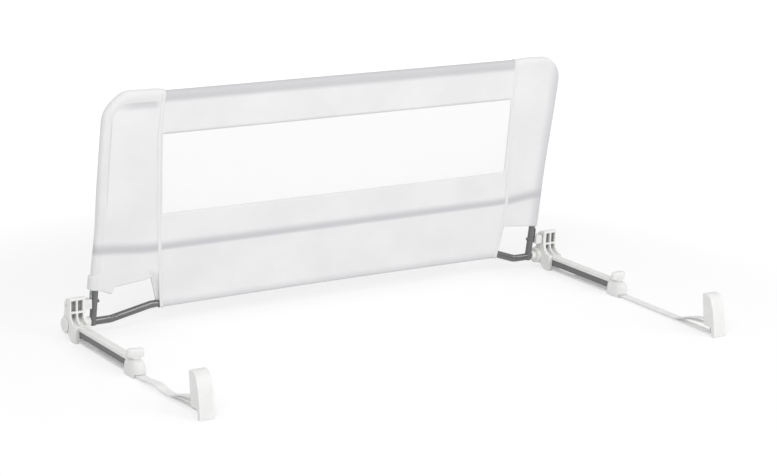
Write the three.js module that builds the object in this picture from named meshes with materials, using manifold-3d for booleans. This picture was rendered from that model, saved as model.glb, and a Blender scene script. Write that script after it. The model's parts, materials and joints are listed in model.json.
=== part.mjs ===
// Folding bed guard rail: a fabric covered tube frame that leans towards the mattress,
// a plastic bracket with a pivot and a latch at each end, and two under-mattress arms,
// each with a webbing strap and an anchor for the far side of the bed.
// Millimetres. X runs along the rail, the mattress is on the -Y side, Z is up.

import * as THREE from "three";
import { mergeVertices } from "three/addons/utils/BufferGeometryUtils.js";
import Module from "manifold-3d";

const wasm = await Module();
wasm.setup();

// Driving dimensions of the whole rail
const railWidth = 1000;
const railHeight = 425;
const leanDeg = 7.9;
const pivotHeight = 25;
const bracketStandOff = 17.6;
const armReach = 238;
const leftStrapLength = 257;
const rightStrapLength = 305.5;
const leftStrapDrift = 3.8;
const rightStrapDrift = -7.5;

// Clearances and cutting allowances
const gap = 0.3;
const slack = 0.4;
const overrun = 5;

// Faces of round sections
const tubeSides = 16;
const fineSides = 32;
const smallSides = 16;

// Steel frame tube
const tubeRadius = 6.35;
const tubeWall = 1;
const cornerBend = 42;
const cornerSteps = 8;
const joggleBend = 42;
const joggleSteps = 3;
const topArmLength = 192.55;
const spigotLength = 32;
const footDrop = 7.4;

// Bottom tube and crossbar, both joggled in the plane of the frame
const bottomRise = 16.9;
const bottomEndLength = 35.55;
const leftBottomMiddleOut = 22.5;
const rightBottomMiddleOut = 4;
const crossbarHeight = 131;
const crossbarEndRise = 8;
const crossbarEndLength = 29.55;
const crossbarMiddleIn = 74.55;
const bottomPlugLength = 20;
const crossbarPlugLength = 13;
const plugBoreRadius = 2.6;
const crossbarScrewRadius = 2.2;
const crossbarScrewHead = 3.8;
const crossbarScrewHeadThick = 2.4;
const crossbarScrewLength = 17;

// Fabric cover
const cloth = 0.8;
const coverBottom = 9.5;
const coverSpare = 3;
const coverEdge = 6;
const coverEdgeSteps = 3;
const leftPanelWidth = 147.5;
const rightPanelWidth = 99;
const seamWidth = 7;
const seamInset = 8;
const leftSeamShift = 3;
const rightSeamShift = -1.5;
const windowHeight = 152;
const windowDrop = 79;
const leftWindowTopInset = 118;
const leftWindowFootInset = 129;
const rightWindowTopInset = 114.5;
const rightWindowFootInset = 107.3;
const leftSleeveFoot = 61;
const leftTabFoot = 51;
const leftTabWidth = 17.2;
const leftTabSlant = 8;
const leftCutTop = 63;
const leftCutEndTop = 70;
const leftCutSlant = 30.5;
const leftCutFoot = 15;
const leftStripFoot = 23.6;
const leftStripFootEnd = 3;
const cuffHeight = 26;
const cuffFlare = 4;
const cuffStand = 1.2;
const rightSleeveFoot = 68;
const rightCutTop = 76;
const rightCutSlant = 11.5;
const rightCutFoot = 1.5;

// Each seam bows outwards from its foot: [distance outwards, drop from the top of the rail]
const leftSeamBow = [[28, 0], [31.5, 81], [20.5, 233], [12.5, 307]];
const rightSeamBow = [[-13.5, 0], [9.5, 293], [7.5, 349]];

// Pivot: bolt, spacer, nut plug and the cover of the bolt head
const boltRadius = 4;
const boltHeadRadius = 7.5;
const boltHeadThick = 4;
const bossRadius = 15.5;
const bossReach = 7.5;
const spacerRadius = 9;
const capDiscRadius = 14.2;
const capDiscThick = 3.4;
const capDiscDome = 1.6;

// Bracket body, seen from its own side
const bracketWidth = 30;
const bracketTop = 77.5;
const bracketBackTop = 66;
const bracketFront = 20;
const bracketBack = 4;
const socketFront = 40;
const socketTop = 31;
const filletStart = 52;
const footBack = 25;
const heelBack = 13;
const heelHeight = 10;
const pocketWidth = 9.7;
const pocketMiddleRib = 3.2;
const pocketFloor = 11.4;
const pocketTop = 73;
const pocketSplit = 53;
const pocketRib = 3.4;
const pocketLowerFloor = 8;
const pocketToe = 38;
const pocketFoot = 29.5;
const pocketRim = 3.2;
const socketDepth = 18;

// Arm: flat-sided steel tube with a moulded cover on top
const armWidth = 12.7;
const armHeight = 18;
const armBottom = 9;
const armWall = 1.2;
const armCorner = 5;
const armCornerSteps = 3;
const armTubeInset = 5;
const armCoverWidth = 15.6;
const armCoverTop = 29.4;
const armCoverLip = 5.4;
const armCoverWall = 1.1;
const armCoverGap = 1;
const armCoverInset = 0.6;
const armScrewRadius = 2;
const armScrewHeadRadius = 3.6;
const armScrewHeadThick = 1.8;
const armScrewPlace = 29;

// Latch: sprung block in the bracket, pushed back by a button through the upright
const latchHeight = 38;
const latchTravel = 2.4;
const latchBlockFront = 9.5;
const latchBlockHalf = 6.5;
const latchBlockFoot = 10;
const latchRecess = 5;
const latchStemRadius = 4.6;
const latchStemLength = 5.5;
const latchPinRadius = 2.5;
const latchBoreRadius = 5;
const latchShoulder = 9;
const latchPinEnd = 13.5;
const springWall = 1.1;
const buttonRadius = 3;
const buttonDome = 1.2;
const leafWidth = 8;
const leafThick = 1;
const leafFoot = 32;
const leafTop = 60;
const leafBow = 0.8;
const leafRivetHeight = 54;
const leafRivetRadius = 1.6;
const leafRivetHeadRadius = 2.8;
const leafRivetHeadThick = 0.6;

// End cap with its clamp knob
const capWidth = 27;
const capTop = 28.6;
const capNeck = 14.6;
const capNose = 8.9;
const capDomeRise = 14.6;
const capDomeInset = 7.5;
const capDomeSteps = 5;
const capSlotSlack = 1.2;
const studRadius = 3;
const knobCollarRadius = 8;
const knobCollarHeight = 5.4;
const knobWingLength = 30.5;
const knobWingWidth = 12.5;
const knobHeight = 18;
const knobEdge = 3.2;
const knobEdgeSteps = 3;
const leftKnobTurnDeg = -15;

// Webbing strap
const strapWidth = 18;
const strapThick = 1.4;
const strapLift = 1.8;
const strapSlotHeight = 4.6;
const strapTail = 36;
const strapUpperRun = 138;
const strapSplit = 121;
const strapSplitBend = 40;
const strapBendSteps = 4;
const loopSag = 3;
const loopHumpShare = 0.42;
const leftStrapForm = {
  waveShares: [0.17, 0.545, 0.805],
  waveLifts: [0, 5.5, 1.2],
  splitLift: 1.6,
  footLift: 9,
  humpLift: 3.5,
};
const rightStrapForm = { waveShares: [], waveLifts: [], splitLift: 0, footLift: 0, humpLift: 1 };

// Anchor at the far end of each strap
const anchorWidth = 28;
const anchorHeight = 77;
const anchorDepth = 39;
const anchorShoulder = 70;
const anchorRearTop = 73;
const anchorRearBend = 5;
const anchorBlockFoot = 17;
const anchorBlockDepth = 31;
const anchorPlateFoot = 8;
const anchorToe = 11;
const anchorPlateDepth = 7;
const anchorCrown = 27;
const anchorWall = 2.6;
const anchorBarRadius = 2.5;
const anchorBarDepth = 22;
const anchorBarHeight = 26;
const anchorBarSeat = 1.4;

// Places that follow from the sizes above
const lean = THREE.MathUtils.degToRad(leanDeg);
const sleeveReach = tubeRadius + gap + cloth;
const tubeX = railWidth / 2 - sleeveReach - coverSpare;
const tubeTop = railHeight - sleeveReach;
const boreRadius = tubeRadius - tubeWall;
const uprightFace = tubeX + tubeRadius;
const innerFace = tubeX - tubeRadius;
const sideTubeEnd = tubeX - topArmLength;
const bracketHalf = bracketWidth / 2;
const armSpread = uprightFace + bracketStandOff + bracketHalf;
const leftStrapReach = armReach + leftStrapLength;
const rightStrapReach = armReach + rightStrapLength;
const armTubeEnd = armReach - armTubeInset;
const armCoverStart = socketFront + armCoverGap;
const armCoverEnd = armReach - capNeck - armCoverInset;
const leftSeam = railWidth / 2 - leftPanelWidth;
const rightSeam = railWidth / 2 - rightPanelWidth;
const leftTabInner = innerFace - leftTabWidth;
const leftTabHeel = leftTabInner - leftTabSlant;
const leftCutEnd = leftSeam + leftCutSlant;
const capFront = capNose + capWidth / 2;
const rightCutEnd = rightSeam + rightCutSlant;
const windowTop = railHeight - windowDrop;
const windowBottom = windowTop - windowHeight;
const latchY = -latchHeight * Math.sin(lean);
const latchZ = pivotHeight + latchHeight * Math.cos(lean);
const leafFace = uprightFace + gap;

const finishes = {
  tube: { color: 0x6c6e70, roughness: 0.38, metalness: 0.25 },
  steel: { color: 0x8d9094, roughness: 0.3, metalness: 0.8 },
  plastic: { color: 0xe9e9e6, roughness: 0.45, metalness: 0 },
  cloth: { color: 0xe4e4e6, roughness: 0.9, metalness: 0 },
  netting: { color: 0xfafafa, roughness: 0.85, metalness: 0 },
  webbing: { color: 0xe6e6e3, roughness: 0.9, metalness: 0 },
};

// A mesh of triangles as a solid that can be joined and cut
function solid(geometry) {
  const bare = geometry.index ? geometry.toNonIndexed() : geometry.clone();
  for (const name of Object.keys(bare.attributes)) {
    if (name !== "position") bare.deleteAttribute(name);
  }
  const merged = mergeVertices(bare);
  return new wasm.Manifold(new wasm.Mesh({
    numProp: 3,
    vertProperties: new Float32Array(merged.attributes.position.array),
    triVerts: new Uint32Array(merged.index.array),
  }));
}

// A solid back as a mesh of triangles
function geometryOf(body) {
  const mesh = body.getMesh();
  const geometry = new THREE.BufferGeometry();
  geometry.setAttribute("position", new THREE.BufferAttribute(new Float32Array(mesh.vertProperties), 3));
  geometry.setIndex(new THREE.BufferAttribute(new Uint32Array(mesh.triVerts), 1));
  const flat = geometry.toNonIndexed();
  flat.computeVertexNormals();
  return flat;
}

function cut(body, ...tools) {
  return tools.reduce((left, tool) => left.subtract(tool), body);
}

function join(body, ...more) {
  return more.reduce((sum, next) => sum.add(next), body);
}

function block(x0, x1, y0, y1, z0, z1) {
  const geometry = new THREE.BoxGeometry(x1 - x0, y1 - y0, z1 - z0);
  geometry.translate((x0 + x1) / 2, (y0 + y1) / 2, (z0 + z1) / 2);
  return solid(geometry);
}

// A round profile of [distance along, radius] points, turned about an axis along X
function turnedX(profile, y, z, sides) {
  const points = profile.map(([along, radius]) => new THREE.Vector2(radius, along));
  const geometry = new THREE.LatheGeometry(points, sides);
  geometry.rotateZ(-Math.PI / 2);
  geometry.translate(0, y, z);
  return solid(geometry);
}

function rodX(x0, x1, radius, y, z, sides = smallSides) {
  return turnedX([[x0, 0], [x0, radius], [x1, radius], [x1, 0]], y, z, sides);
}

function turnedZ(profile, x, y, sides) {
  const points = profile.map(([along, radius]) => new THREE.Vector2(radius, along));
  const geometry = new THREE.LatheGeometry(points, sides);
  geometry.rotateX(Math.PI / 2);
  geometry.translate(x, y, 0);
  return solid(geometry);
}

function rodZ(z0, z1, radius, x, y, sides = smallSides) {
  return turnedZ([[z0, 0], [z0, radius], [z1, radius], [z1, 0]], x, y, sides);
}

// An outline of (y, z) points, pulled along X
function pulledX(shape, x0, x1, curveSegments = cornerSteps) {
  const geometry = new THREE.ExtrudeGeometry(shape, { depth: x1 - x0, bevelEnabled: false, curveSegments });
  geometry.rotateY(Math.PI / 2);
  geometry.rotateX(Math.PI / 2);
  geometry.translate(x0, 0, 0);
  return solid(geometry);
}

// An outline of (x, z) points, pulled along Y
function pulledY(shape, y0, y1, curveSegments = cornerSteps) {
  const geometry = new THREE.ExtrudeGeometry(shape, { depth: y1 - y0, bevelEnabled: false, curveSegments });
  geometry.rotateX(Math.PI / 2);
  geometry.translate(0, y1, 0);
  return solid(geometry);
}

// An outline of (x, y) points, pulled along Z with rounded rims
function pulledZ(shape, z0, z1, rim, rimSteps, curveSegments, rimInset = rim) {
  const geometry = new THREE.ExtrudeGeometry(shape, {
    depth: z1 - z0 - 2 * rim,
    bevelEnabled: rim > 0,
    bevelThickness: rim,
    bevelSize: rimInset,
    bevelOffset: -rimInset,
    bevelSegments: rimSteps,
    curveSegments,
  });
  geometry.translate(0, 0, z0 + rim);
  return solid(geometry);
}

function outlineOf(points) {
  return new THREE.Shape(points.map(([u, v]) => new THREE.Vector2(u, v)));
}

// Straight runs joined by arcs, as stations with a place and a direction each
function bentRun(points, bends, steps) {
  const corners = points.map((point) => new THREE.Vector3(...point));
  const stations = [];
  const ahead = (i) => corners[i + 1].clone().sub(corners[i]).normalize();
  stations.push({ place: corners[0], tangent: ahead(0) });
  for (let i = 1; i < corners.length - 1; i += 1) {
    const before = ahead(i - 1);
    const after = ahead(i);
    const turn = before.angleTo(after);
    const bend = bends[i - 1];
    const trim = bend * Math.tan(turn / 2);
    const start = corners[i].clone().addScaledVector(before, -trim);
    const inward = after.clone().addScaledVector(before, -after.dot(before)).normalize();
    for (let k = 0; k <= steps; k += 1) {
      const angle = (turn * k) / steps;
      const place = start.clone();
      place.addScaledVector(before, bend * Math.sin(angle));
      place.addScaledVector(inward, bend * (1 - Math.cos(angle)));
      const tangent = before.clone().multiplyScalar(Math.cos(angle)).addScaledVector(inward, Math.sin(angle));
      stations.push({ place, tangent });
    }
  }
  const last = corners.length - 1;
  stations.push({ place: corners[last], tangent: ahead(last - 1) });
  return stations;
}

// A path that is sampled at its stations only, so that a straight run is one step
class StationPath extends THREE.Curve {
  constructor(stations) {
    super();
    this.stations = stations;
  }

  station(share) {
    return this.stations[Math.round(share * (this.stations.length - 1))];
  }

  getPointAt(share, target = new THREE.Vector3()) {
    return target.copy(this.station(share).place);
  }

  getTangentAt(share, target = new THREE.Vector3()) {
    return target.copy(this.station(share).tangent);
  }
}

function circlePoints(radius, sides) {
  const points = [];
  for (let i = 0; i < sides; i += 1) {
    const angle = (2 * Math.PI * i) / sides;
    points.push([radius * Math.cos(angle), radius * Math.sin(angle)]);
  }
  return points;
}

// A round tube or bar swept along stations
function swept(stations, radius, hole) {
  const section = outlineOf(circlePoints(radius, tubeSides));
  if (hole > 0) section.holes.push(outlineOf(circlePoints(hole, tubeSides)));
  return solid(new THREE.ExtrudeGeometry(section, {
    steps: stations.length - 1,
    extrudePath: new StationPath(stations),
  }));
}

const parts = new THREE.Group();

// Adds one named piece to a group, mirrored where the side is the left one
function add(group, name, body, finish, side = 1) {
  const sided = side < 0 ? body.mirror([1, 0, 0]) : body;
  const mesh = new THREE.Mesh(geometryOf(sided), new THREE.MeshStandardMaterial(finishes[finish]));
  mesh.name = name;
  group.add(mesh);
  return mesh;
}

// Frame pieces are drawn upright for the +X side: x along, y through, z up from the pivot
function sideTube() {
  const run = bentRun(
    [[tubeX, 0, -footDrop], [tubeX, 0, tubeTop], [sideTubeEnd, 0, tubeTop]],
    [cornerBend],
    cornerSteps,
  );
  return cut(
    swept(run, tubeRadius, boreRadius),
    rodX(innerFace - overrun, uprightFace + overrun, boltRadius + gap, 0, 0),
    rodX(innerFace - overrun, uprightFace + overrun, buttonRadius + gap, 0, latchHeight),
    rodX(tubeX, uprightFace + overrun, leafRivetRadius + gap, 0, leafRivetHeight),
    rodX(innerFace - overrun, tubeX, plugBoreRadius, 0, crossbarHeight + crossbarEndRise),
    rodX(tubeX, uprightFace + overrun, crossbarScrewHead + gap, 0, crossbarHeight + crossbarEndRise),
  );
}

function crossbarScrew() {
  const seat = tubeX - boreRadius + crossbarScrewSeat();
  const head = seat + crossbarScrewHeadThick;
  const tip = innerFace - crossbarScrewLength;
  return turnedX(
    [[tip, 0], [tip, crossbarScrewRadius], [seat, crossbarScrewRadius], [seat, crossbarScrewHead],
      [head, crossbarScrewHead], [head, 0]],
    0,
    crossbarHeight + crossbarEndRise,
    smallSides,
  );
}

// How far a flat screw head stands off the curved inner wall of the upright
function crossbarScrewSeat() {
  return boreRadius - Math.sqrt(boreRadius ** 2 - crossbarScrewHead ** 2) + gap;
}

// The top tube joins the side tubes with a reduced end in each
function topTube() {
  const step = sideTubeEnd - gap;
  const tip = sideTubeEnd + spigotLength;
  const thin = boreRadius - gap;
  const bore = thin - tubeWall;
  return turnedX(
    [[-tip, bore], [-tip, thin], [-step, thin], [-step, tubeRadius], [step, tubeRadius],
      [step, thin], [tip, thin], [tip, bore], [-tip, bore]],
    0,
    tubeTop,
    tubeSides,
  );
}

// A cross tube whose middle is joggled up or down, its ends shaped to the uprights
function crossTube(endHeight, middleHeight, endX, leftMiddleX, rightMiddleX) {
  const run = bentRun(
    [[-tubeX, 0, endHeight], [-endX, 0, endHeight], [-leftMiddleX, 0, middleHeight],
      [rightMiddleX, 0, middleHeight], [endX, 0, endHeight], [tubeX, 0, endHeight]],
    [joggleBend, joggleBend, joggleBend, joggleBend],
    joggleSteps,
  );
  const reach = 2 * overrun + tubeRadius;
  return cut(
    swept(run, tubeRadius, boreRadius),
    rodZ(endHeight - reach, endHeight + reach, tubeRadius + gap, tubeX, 0, tubeSides),
    rodZ(endHeight - reach, endHeight + reach, tubeRadius + gap, -tubeX, 0, tubeSides),
  );
}

// A threaded plug in the end of a cross tube
function endPlug(height, bore, length) {
  const outer = innerFace - tubeWall;
  const inner = outer - length;
  return turnedX(
    [[inner, bore], [inner, boreRadius - gap], [outer, boreRadius - gap], [outer, bore], [inner, bore]],
    0,
    height,
    tubeSides,
  );
}

function pivotBolt() {
  const head = armSpread + bracketHalf - gap;
  const seat = head - boltHeadThick;
  const tip = innerFace - bottomPlugLength + overrun;
  return turnedX(
    [[tip, 0], [tip, boltRadius], [seat, boltRadius], [seat, boltHeadRadius], [head, boltHeadRadius], [head, 0]],
    0,
    0,
    fineSides,
  );
}

// The cover is a flat sleeve with soft edges, drawn whole and then cut at its seams
function sleeve(inset) {
  const left = -railWidth / 2 + inset;
  const right = railWidth / 2 - inset;
  const bottom = coverBottom + inset;
  const top = railHeight - inset;
  const bend = cornerBend + sleeveReach - inset;
  const shape = new THREE.Shape();
  shape.moveTo(left, bottom);
  shape.lineTo(right, bottom);
  shape.lineTo(right, top - bend);
  shape.absarc(right - bend, top - bend, bend, 0, Math.PI / 2, false);
  shape.lineTo(left + bend, top);
  shape.absarc(left + bend, top - bend, bend, Math.PI / 2, Math.PI, false);
  const half = sleeveReach - inset;
  const body = pulledZ(shape, -half, half, coverEdge - inset, coverEdgeSteps, cornerSteps);
  return body.rotate([90, 0, 0]);
}

function leftCutOut() {
  const shape = outlineOf([
    [-railWidth, 0],
    [-leftSeam - leftStripFootEnd, 0],
    [-leftSeam - leftStripFootEnd, leftStripFoot],
    [-leftSeam - leftCutFoot, leftStripFoot],
    [-leftCutEnd, leftCutEndTop],
    [-leftTabHeel, leftCutTop],
    [-leftTabInner, leftTabFoot],
    [-innerFace, leftSleeveFoot],
    [-railWidth, leftSleeveFoot],
  ]);
  return pulledY(shape, -railWidth, railWidth);
}

function rightCutOut() {
  const shape = outlineOf([
    [rightSeam + rightCutFoot, 0],
    [railWidth, 0],
    [railWidth, rightSleeveFoot],
    [innerFace, rightSleeveFoot],
    [rightCutEnd, rightCutTop],
    [rightSeam + rightCutFoot, coverBottom],
  ]);
  return pulledY(shape, -railWidth, railWidth);
}

// A seam from above the rail to below it, moved along the rail by the shift
function seamLine(side, shift) {
  const foot = side < 0 ? leftSeam : rightSeam;
  const bow = side < 0 ? leftSeamBow : rightSeamBow;
  const line = bow.map(([out, drop]) => [side * (foot + out) + shift, railHeight - drop]);
  line.unshift([line[0][0], railHeight + overrun]);
  line.push([side * foot + shift, coverBottom], [side * foot + shift, 0]);
  return line;
}

function coverPanel(outline) {
  const shell = cut(sleeve(0), sleeve(cloth));
  const keep = pulledY(outlineOf(outline), -railWidth, railWidth);
  return cut(shell.intersect(keep), leftCutOut(), rightCutOut());
}

// A side panel reaches from its seam to beyond the end of the rail
function sidePanel(side) {
  const seam = seamLine(side, side * gap / 2);
  return coverPanel([...seam, [side * railWidth, 0], [side * railWidth, railHeight + overrun]]);
}

function centrePanel() {
  const outline = [...seamLine(-1, gap / 2), ...seamLine(1, -gap / 2).reverse()];
  return cut(coverPanel(outline), windowBlock(0, -railWidth, railWidth));
}

// Thick hem round the left upright, a little wider than the sleeve
function leftCuff() {
  const outer = block(
    -railWidth / 2 - cuffFlare,
    -innerFace,
    -sleeveReach - cuffStand,
    sleeveReach + cuffStand,
    leftSleeveFoot,
    leftSleeveFoot + cuffHeight,
  );
  return cut(outer, sleeve(cloth));
}

function windowBlock(margin, front, back) {
  const half = railWidth / 2;
  const shape = outlineOf([
    [-half + leftWindowFootInset - margin, windowBottom - margin],
    [half - rightWindowFootInset + margin, windowBottom - margin],
    [half - rightWindowTopInset + margin, windowTop + margin],
    [-half + leftWindowTopInset - margin, windowTop + margin],
  ]);
  return pulledY(shape, front, back);
}

function windowSheet(sign) {
  const outer = sign * sleeveReach;
  const inner = sign * (sleeveReach - cloth);
  return windowBlock(-gap, Math.min(outer, inner), Math.max(outer, inner));
}

// The tape over a seam, on the front of the sleeve
function seamBinding(side, shift) {
  const one = seamLine(side, side * shift - seamWidth / 2);
  const other = seamLine(side, side * shift + seamWidth / 2).reverse();
  const front = -sleeveReach - gap - cloth;
  const tape = pulledY(outlineOf([...one, ...other]), front, front + cloth);
  const keep = block(-railWidth, railWidth, -railWidth, railWidth, coverBottom + seamInset, railHeight - seamInset);
  return tape.intersect(keep);
}

// The steel leaf lies on the outer side of the upright and bows out between its ends
function leafSpring() {
  const middle = (leafFoot + leafTop) / 2;
  const shape = new THREE.Shape();
  shape.moveTo(leafFace, leafFoot);
  shape.quadraticCurveTo(leafFace + leafBow, middle, leafFace, leafTop);
  shape.lineTo(leafFace + leafThick, leafTop);
  shape.quadraticCurveTo(leafFace + leafThick + leafBow, middle, leafFace + leafThick, leafFoot);
  const reach = leafThick + leafBow + overrun;
  return cut(
    pulledY(shape, -leafWidth / 2, leafWidth / 2, smallSides / 2),
    rodX(leafFace - overrun, leafFace + reach, buttonRadius + gap, 0, latchHeight),
    rodX(leafFace - overrun, leafFace + reach, leafRivetRadius + gap, 0, leafRivetHeight),
  );
}

function leafRivet() {
  const seat = leafFace + leafThick + leafBow;
  const head = seat + leafRivetHeadThick;
  const tip = tubeX + boreRadius - leafRivetRadius;
  return turnedX(
    [[tip, 0], [tip, leafRivetRadius], [seat, leafRivetRadius], [seat, leafRivetHeadRadius],
      [head, leafRivetHeadRadius], [head, 0]],
    0,
    leafRivetHeight,
    smallSides,
  );
}

// The button goes through both walls of the upright and stands out by its travel
function releaseButton() {
  const tip = leafFace + leafThick;
  const crown = innerFace - latchTravel - slack - buttonDome;
  return turnedX(
    [[crown, 0], [crown + buttonDome / 4, buttonRadius / 2], [crown + buttonDome, buttonRadius],
      [tip, buttonRadius], [tip, 0]],
    0,
    latchHeight,
    smallSides,
  );
}

// Bracket pieces are drawn for the +X side with x = 0 on the arm's centre line
function bracketOutline() {
  const shape = new THREE.Shape();
  shape.moveTo(-socketFront, 0);
  shape.lineTo(-footBack, 0);
  shape.lineTo(-heelBack, heelHeight);
  shape.absarc(0, pivotHeight, bossRadius, -Math.PI / 2, Math.PI / 4, false);
  shape.lineTo(bracketBack, pivotHeight + bossRadius + bracketBack);
  shape.lineTo(bracketBack, bracketBackTop);
  shape.quadraticCurveTo(-bracketBack, bracketTop + bracketBack / 2, -bracketFront, bracketTop);
  shape.lineTo(-bracketFront, filletStart);
  shape.quadraticCurveTo(-bracketFront, socketTop + pocketRim, -socketFront, socketTop);
  return shape;
}

// The lower pocket follows the curve from the plate to the arm
function pocketOutline() {
  const shape = new THREE.Shape();
  shape.moveTo(-pocketLowerFloor, pocketSplit - pocketRib);
  shape.lineTo(-socketFront, pocketSplit - pocketRib);
  shape.lineTo(-pocketToe, pocketFoot);
  shape.quadraticCurveTo(-pocketLowerFloor, pocketFoot, -pocketLowerFloor, pocketSplit - pocketRib);
  return shape;
}

function bracketBody() {
  const ribHalf = pocketMiddleRib / 2;
  const middle = pocketMiddleRib / 2;
  const pockets = [middle - ribHalf - pocketWidth, middle + ribHalf].flatMap((x) => [
    block(x, x + pocketWidth, -bracketFront - overrun, -pocketFloor, pocketSplit, pocketTop),
    pulledX(pocketOutline(), x, x + pocketWidth),
  ]);
  const armHole = block(
    -armWidth / 2 - gap,
    armWidth / 2 + gap,
    -socketFront - overrun,
    -socketFront + socketDepth + gap,
    armBottom - gap,
    armBottom + armHeight + gap,
  );
  const strapHole = block(
    -strapWidth / 2 - slack,
    strapWidth / 2 + slack,
    -socketFront - overrun,
    -strapTail + slack,
    strapLift - slack,
    strapLift + strapSlotHeight - slack,
  );
  const recess = block(
    -bracketHalf - overrun,
    -bracketHalf + latchRecess,
    latchY - latchBlockFront - gap - slack,
    bracketBack + overrun,
    latchZ - latchBlockFoot - gap,
    latchZ + latchBlockHalf + gap,
  );
  return cut(
    join(
      pulledX(bracketOutline(), -bracketHalf, bracketHalf),
      rodX(-bracketHalf - bossReach, -bracketHalf + overrun, bossRadius, 0, pivotHeight, fineSides),
    ),
    ...pockets,
    armHole,
    strapHole,
    recess,
    rodX(-bracketWidth, bracketWidth, boltRadius + gap, 0, pivotHeight, fineSides),
    rodX(bracketHalf - boltHeadThick - 2 * gap, bracketWidth, boltHeadRadius + gap, 0, pivotHeight, fineSides),
    rodX(-bracketHalf, latchShoulder, latchBoreRadius, latchY, latchZ),
    rodX(0, bracketWidth, latchPinRadius + gap, latchY, latchZ),
    rodZ(-overrun, armBottom, armScrewRadius + gap, 0, -armScrewPlace),
    rodZ(-overrun, armScrewHeadThick + strapLift, armScrewHeadRadius + gap, 0, -armScrewPlace),
  );
}

// Round cap over the bolt head, slightly domed
function pivotCap() {
  const base = bracketHalf + gap;
  const rim = base + capDiscThick - capDiscDome;
  const top = base + capDiscThick;
  return turnedX(
    [[base, 0], [base, capDiscRadius], [rim, capDiscRadius], [top, capDiscRadius - 2 * capDiscDome], [top, 0]],
    0,
    pivotHeight,
    fineSides,
  );
}

function pivotSpacer() {
  const near = uprightFace + gap - armSpread;
  const far = -bracketHalf - bossReach - gap;
  const hole = boltRadius + gap;
  return turnedX(
    [[near, hole], [near, spacerRadius], [far, spacerRadius], [far, hole], [near, hole]],
    0,
    pivotHeight,
    fineSides,
  );
}

function latchBlock() {
  const near = leafFace + leafThick + leafBow + gap - armSpread;
  const back = -bracketHalf - gap;
  const stemEnd = back + latchStemLength + gap;
  return join(
    block(
      near,
      back,
      latchY - latchBlockFront,
      bracketBack,
      latchZ - latchBlockFoot,
      latchZ + latchBlockHalf,
    ),
    rodX(back - overrun, stemEnd, latchStemRadius, latchY, latchZ),
    rodX(back - overrun, latchPinEnd - latchTravel, latchPinRadius, latchY, latchZ),
  );
}

function latchSpring() {
  const start = -bracketHalf + latchStemLength + gap;
  const end = latchShoulder - gap;
  const inner = latchPinRadius + gap;
  const outer = inner + springWall;
  return turnedX(
    [[start, inner], [start, outer], [end, outer], [end, inner], [start, inner]],
    latchY,
    latchZ,
    smallSides,
  );
}

// Rounded box section of the arm, with its long side upright
function armSection(inset) {
  const half = armWidth / 2 - inset;
  const low = armBottom + inset;
  const high = armBottom + armHeight - inset;
  const bend = armCorner - inset;
  const shape = new THREE.Shape();
  shape.absarc(half - bend, high - bend, bend, 0, Math.PI / 2, false);
  shape.absarc(-half + bend, high - bend, bend, Math.PI / 2, Math.PI, false);
  shape.absarc(-half + bend, low + bend, bend, Math.PI, 1.5 * Math.PI, false);
  shape.absarc(half - bend, low + bend, bend, 1.5 * Math.PI, 2 * Math.PI, false);
  return shape;
}

function armTube() {
  const start = -socketFront + socketDepth;
  const outer = pulledY(armSection(0), -armTubeEnd, start, armCornerSteps);
  const inner = pulledY(armSection(armWall), -armTubeEnd - overrun, start + overrun, armCornerSteps);
  const screwHole = rodZ(0, armBottom + armHeight / 2, armScrewRadius + gap, 0, -armScrewPlace);
  return cut(outer, inner, screwHole);
}

// A channel that clips over the top of the arm
function armCover() {
  const half = armCoverWidth / 2;
  const low = armCoverTop - armCoverWall - armCoverLip;
  const outer = block(-half, half, -armCoverEnd, -armCoverStart, low, armCoverTop);
  const tube = pulledY(armSection(-gap), -armReach, 0, armCornerSteps);
  return cut(outer, tube);
}

function armScrew() {
  const headTop = armScrewHeadThick + strapLift - gap;
  const tip = armBottom + 2 * armWall;
  return turnedZ(
    [[strapLift - gap, 0], [strapLift - gap, armScrewHeadRadius], [headTop, armScrewHeadRadius],
      [headTop, armScrewRadius], [tip, armScrewRadius], [tip, 0]],
    0,
    -armScrewPlace,
    smallSides,
  );
}

// The cap from above: straight sides and a round nose
function capPlan() {
  const half = capWidth / 2;
  const nose = -armReach - capNose;
  const rear = -armReach + capNeck + capDomeInset + overrun;
  const shape = new THREE.Shape();
  shape.moveTo(half, rear);
  shape.lineTo(-half, rear);
  shape.absarc(0, nose, half, Math.PI, 2 * Math.PI, false);
  return shape;
}

// A dome on an upright foot, cut off square at its rear
function capBody() {
  const dome = pulledZ(capPlan(), -capDomeRise, capTop, capDomeRise, capDomeSteps, cornerSteps, capDomeInset);
  const half = capWidth / 2 + overrun;
  return dome.intersect(
    block(-half, half, -armReach - capFront - overrun, -armReach + capNeck, 0, capTop + overrun),
  );
}

function endCap() {
  const armHole = block(
    -armWidth / 2 - gap,
    armWidth / 2 + gap,
    -armTubeEnd - gap,
    -armReach + capNeck + overrun,
    armBottom - gap,
    armBottom + armHeight + gap,
  );
  const strapHole = block(
    -strapWidth / 2 - capSlotSlack,
    strapWidth / 2 + capSlotSlack,
    -armReach - capFront - overrun,
    -armReach + capNeck + overrun,
    strapLift - slack,
    strapLift + strapSlotHeight - slack,
  );
  return cut(
    capBody(),
    armHole,
    strapHole,
    rodZ(strapLift, capTop + overrun, studRadius + gap, 0, -armReach),
  );
}

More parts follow.
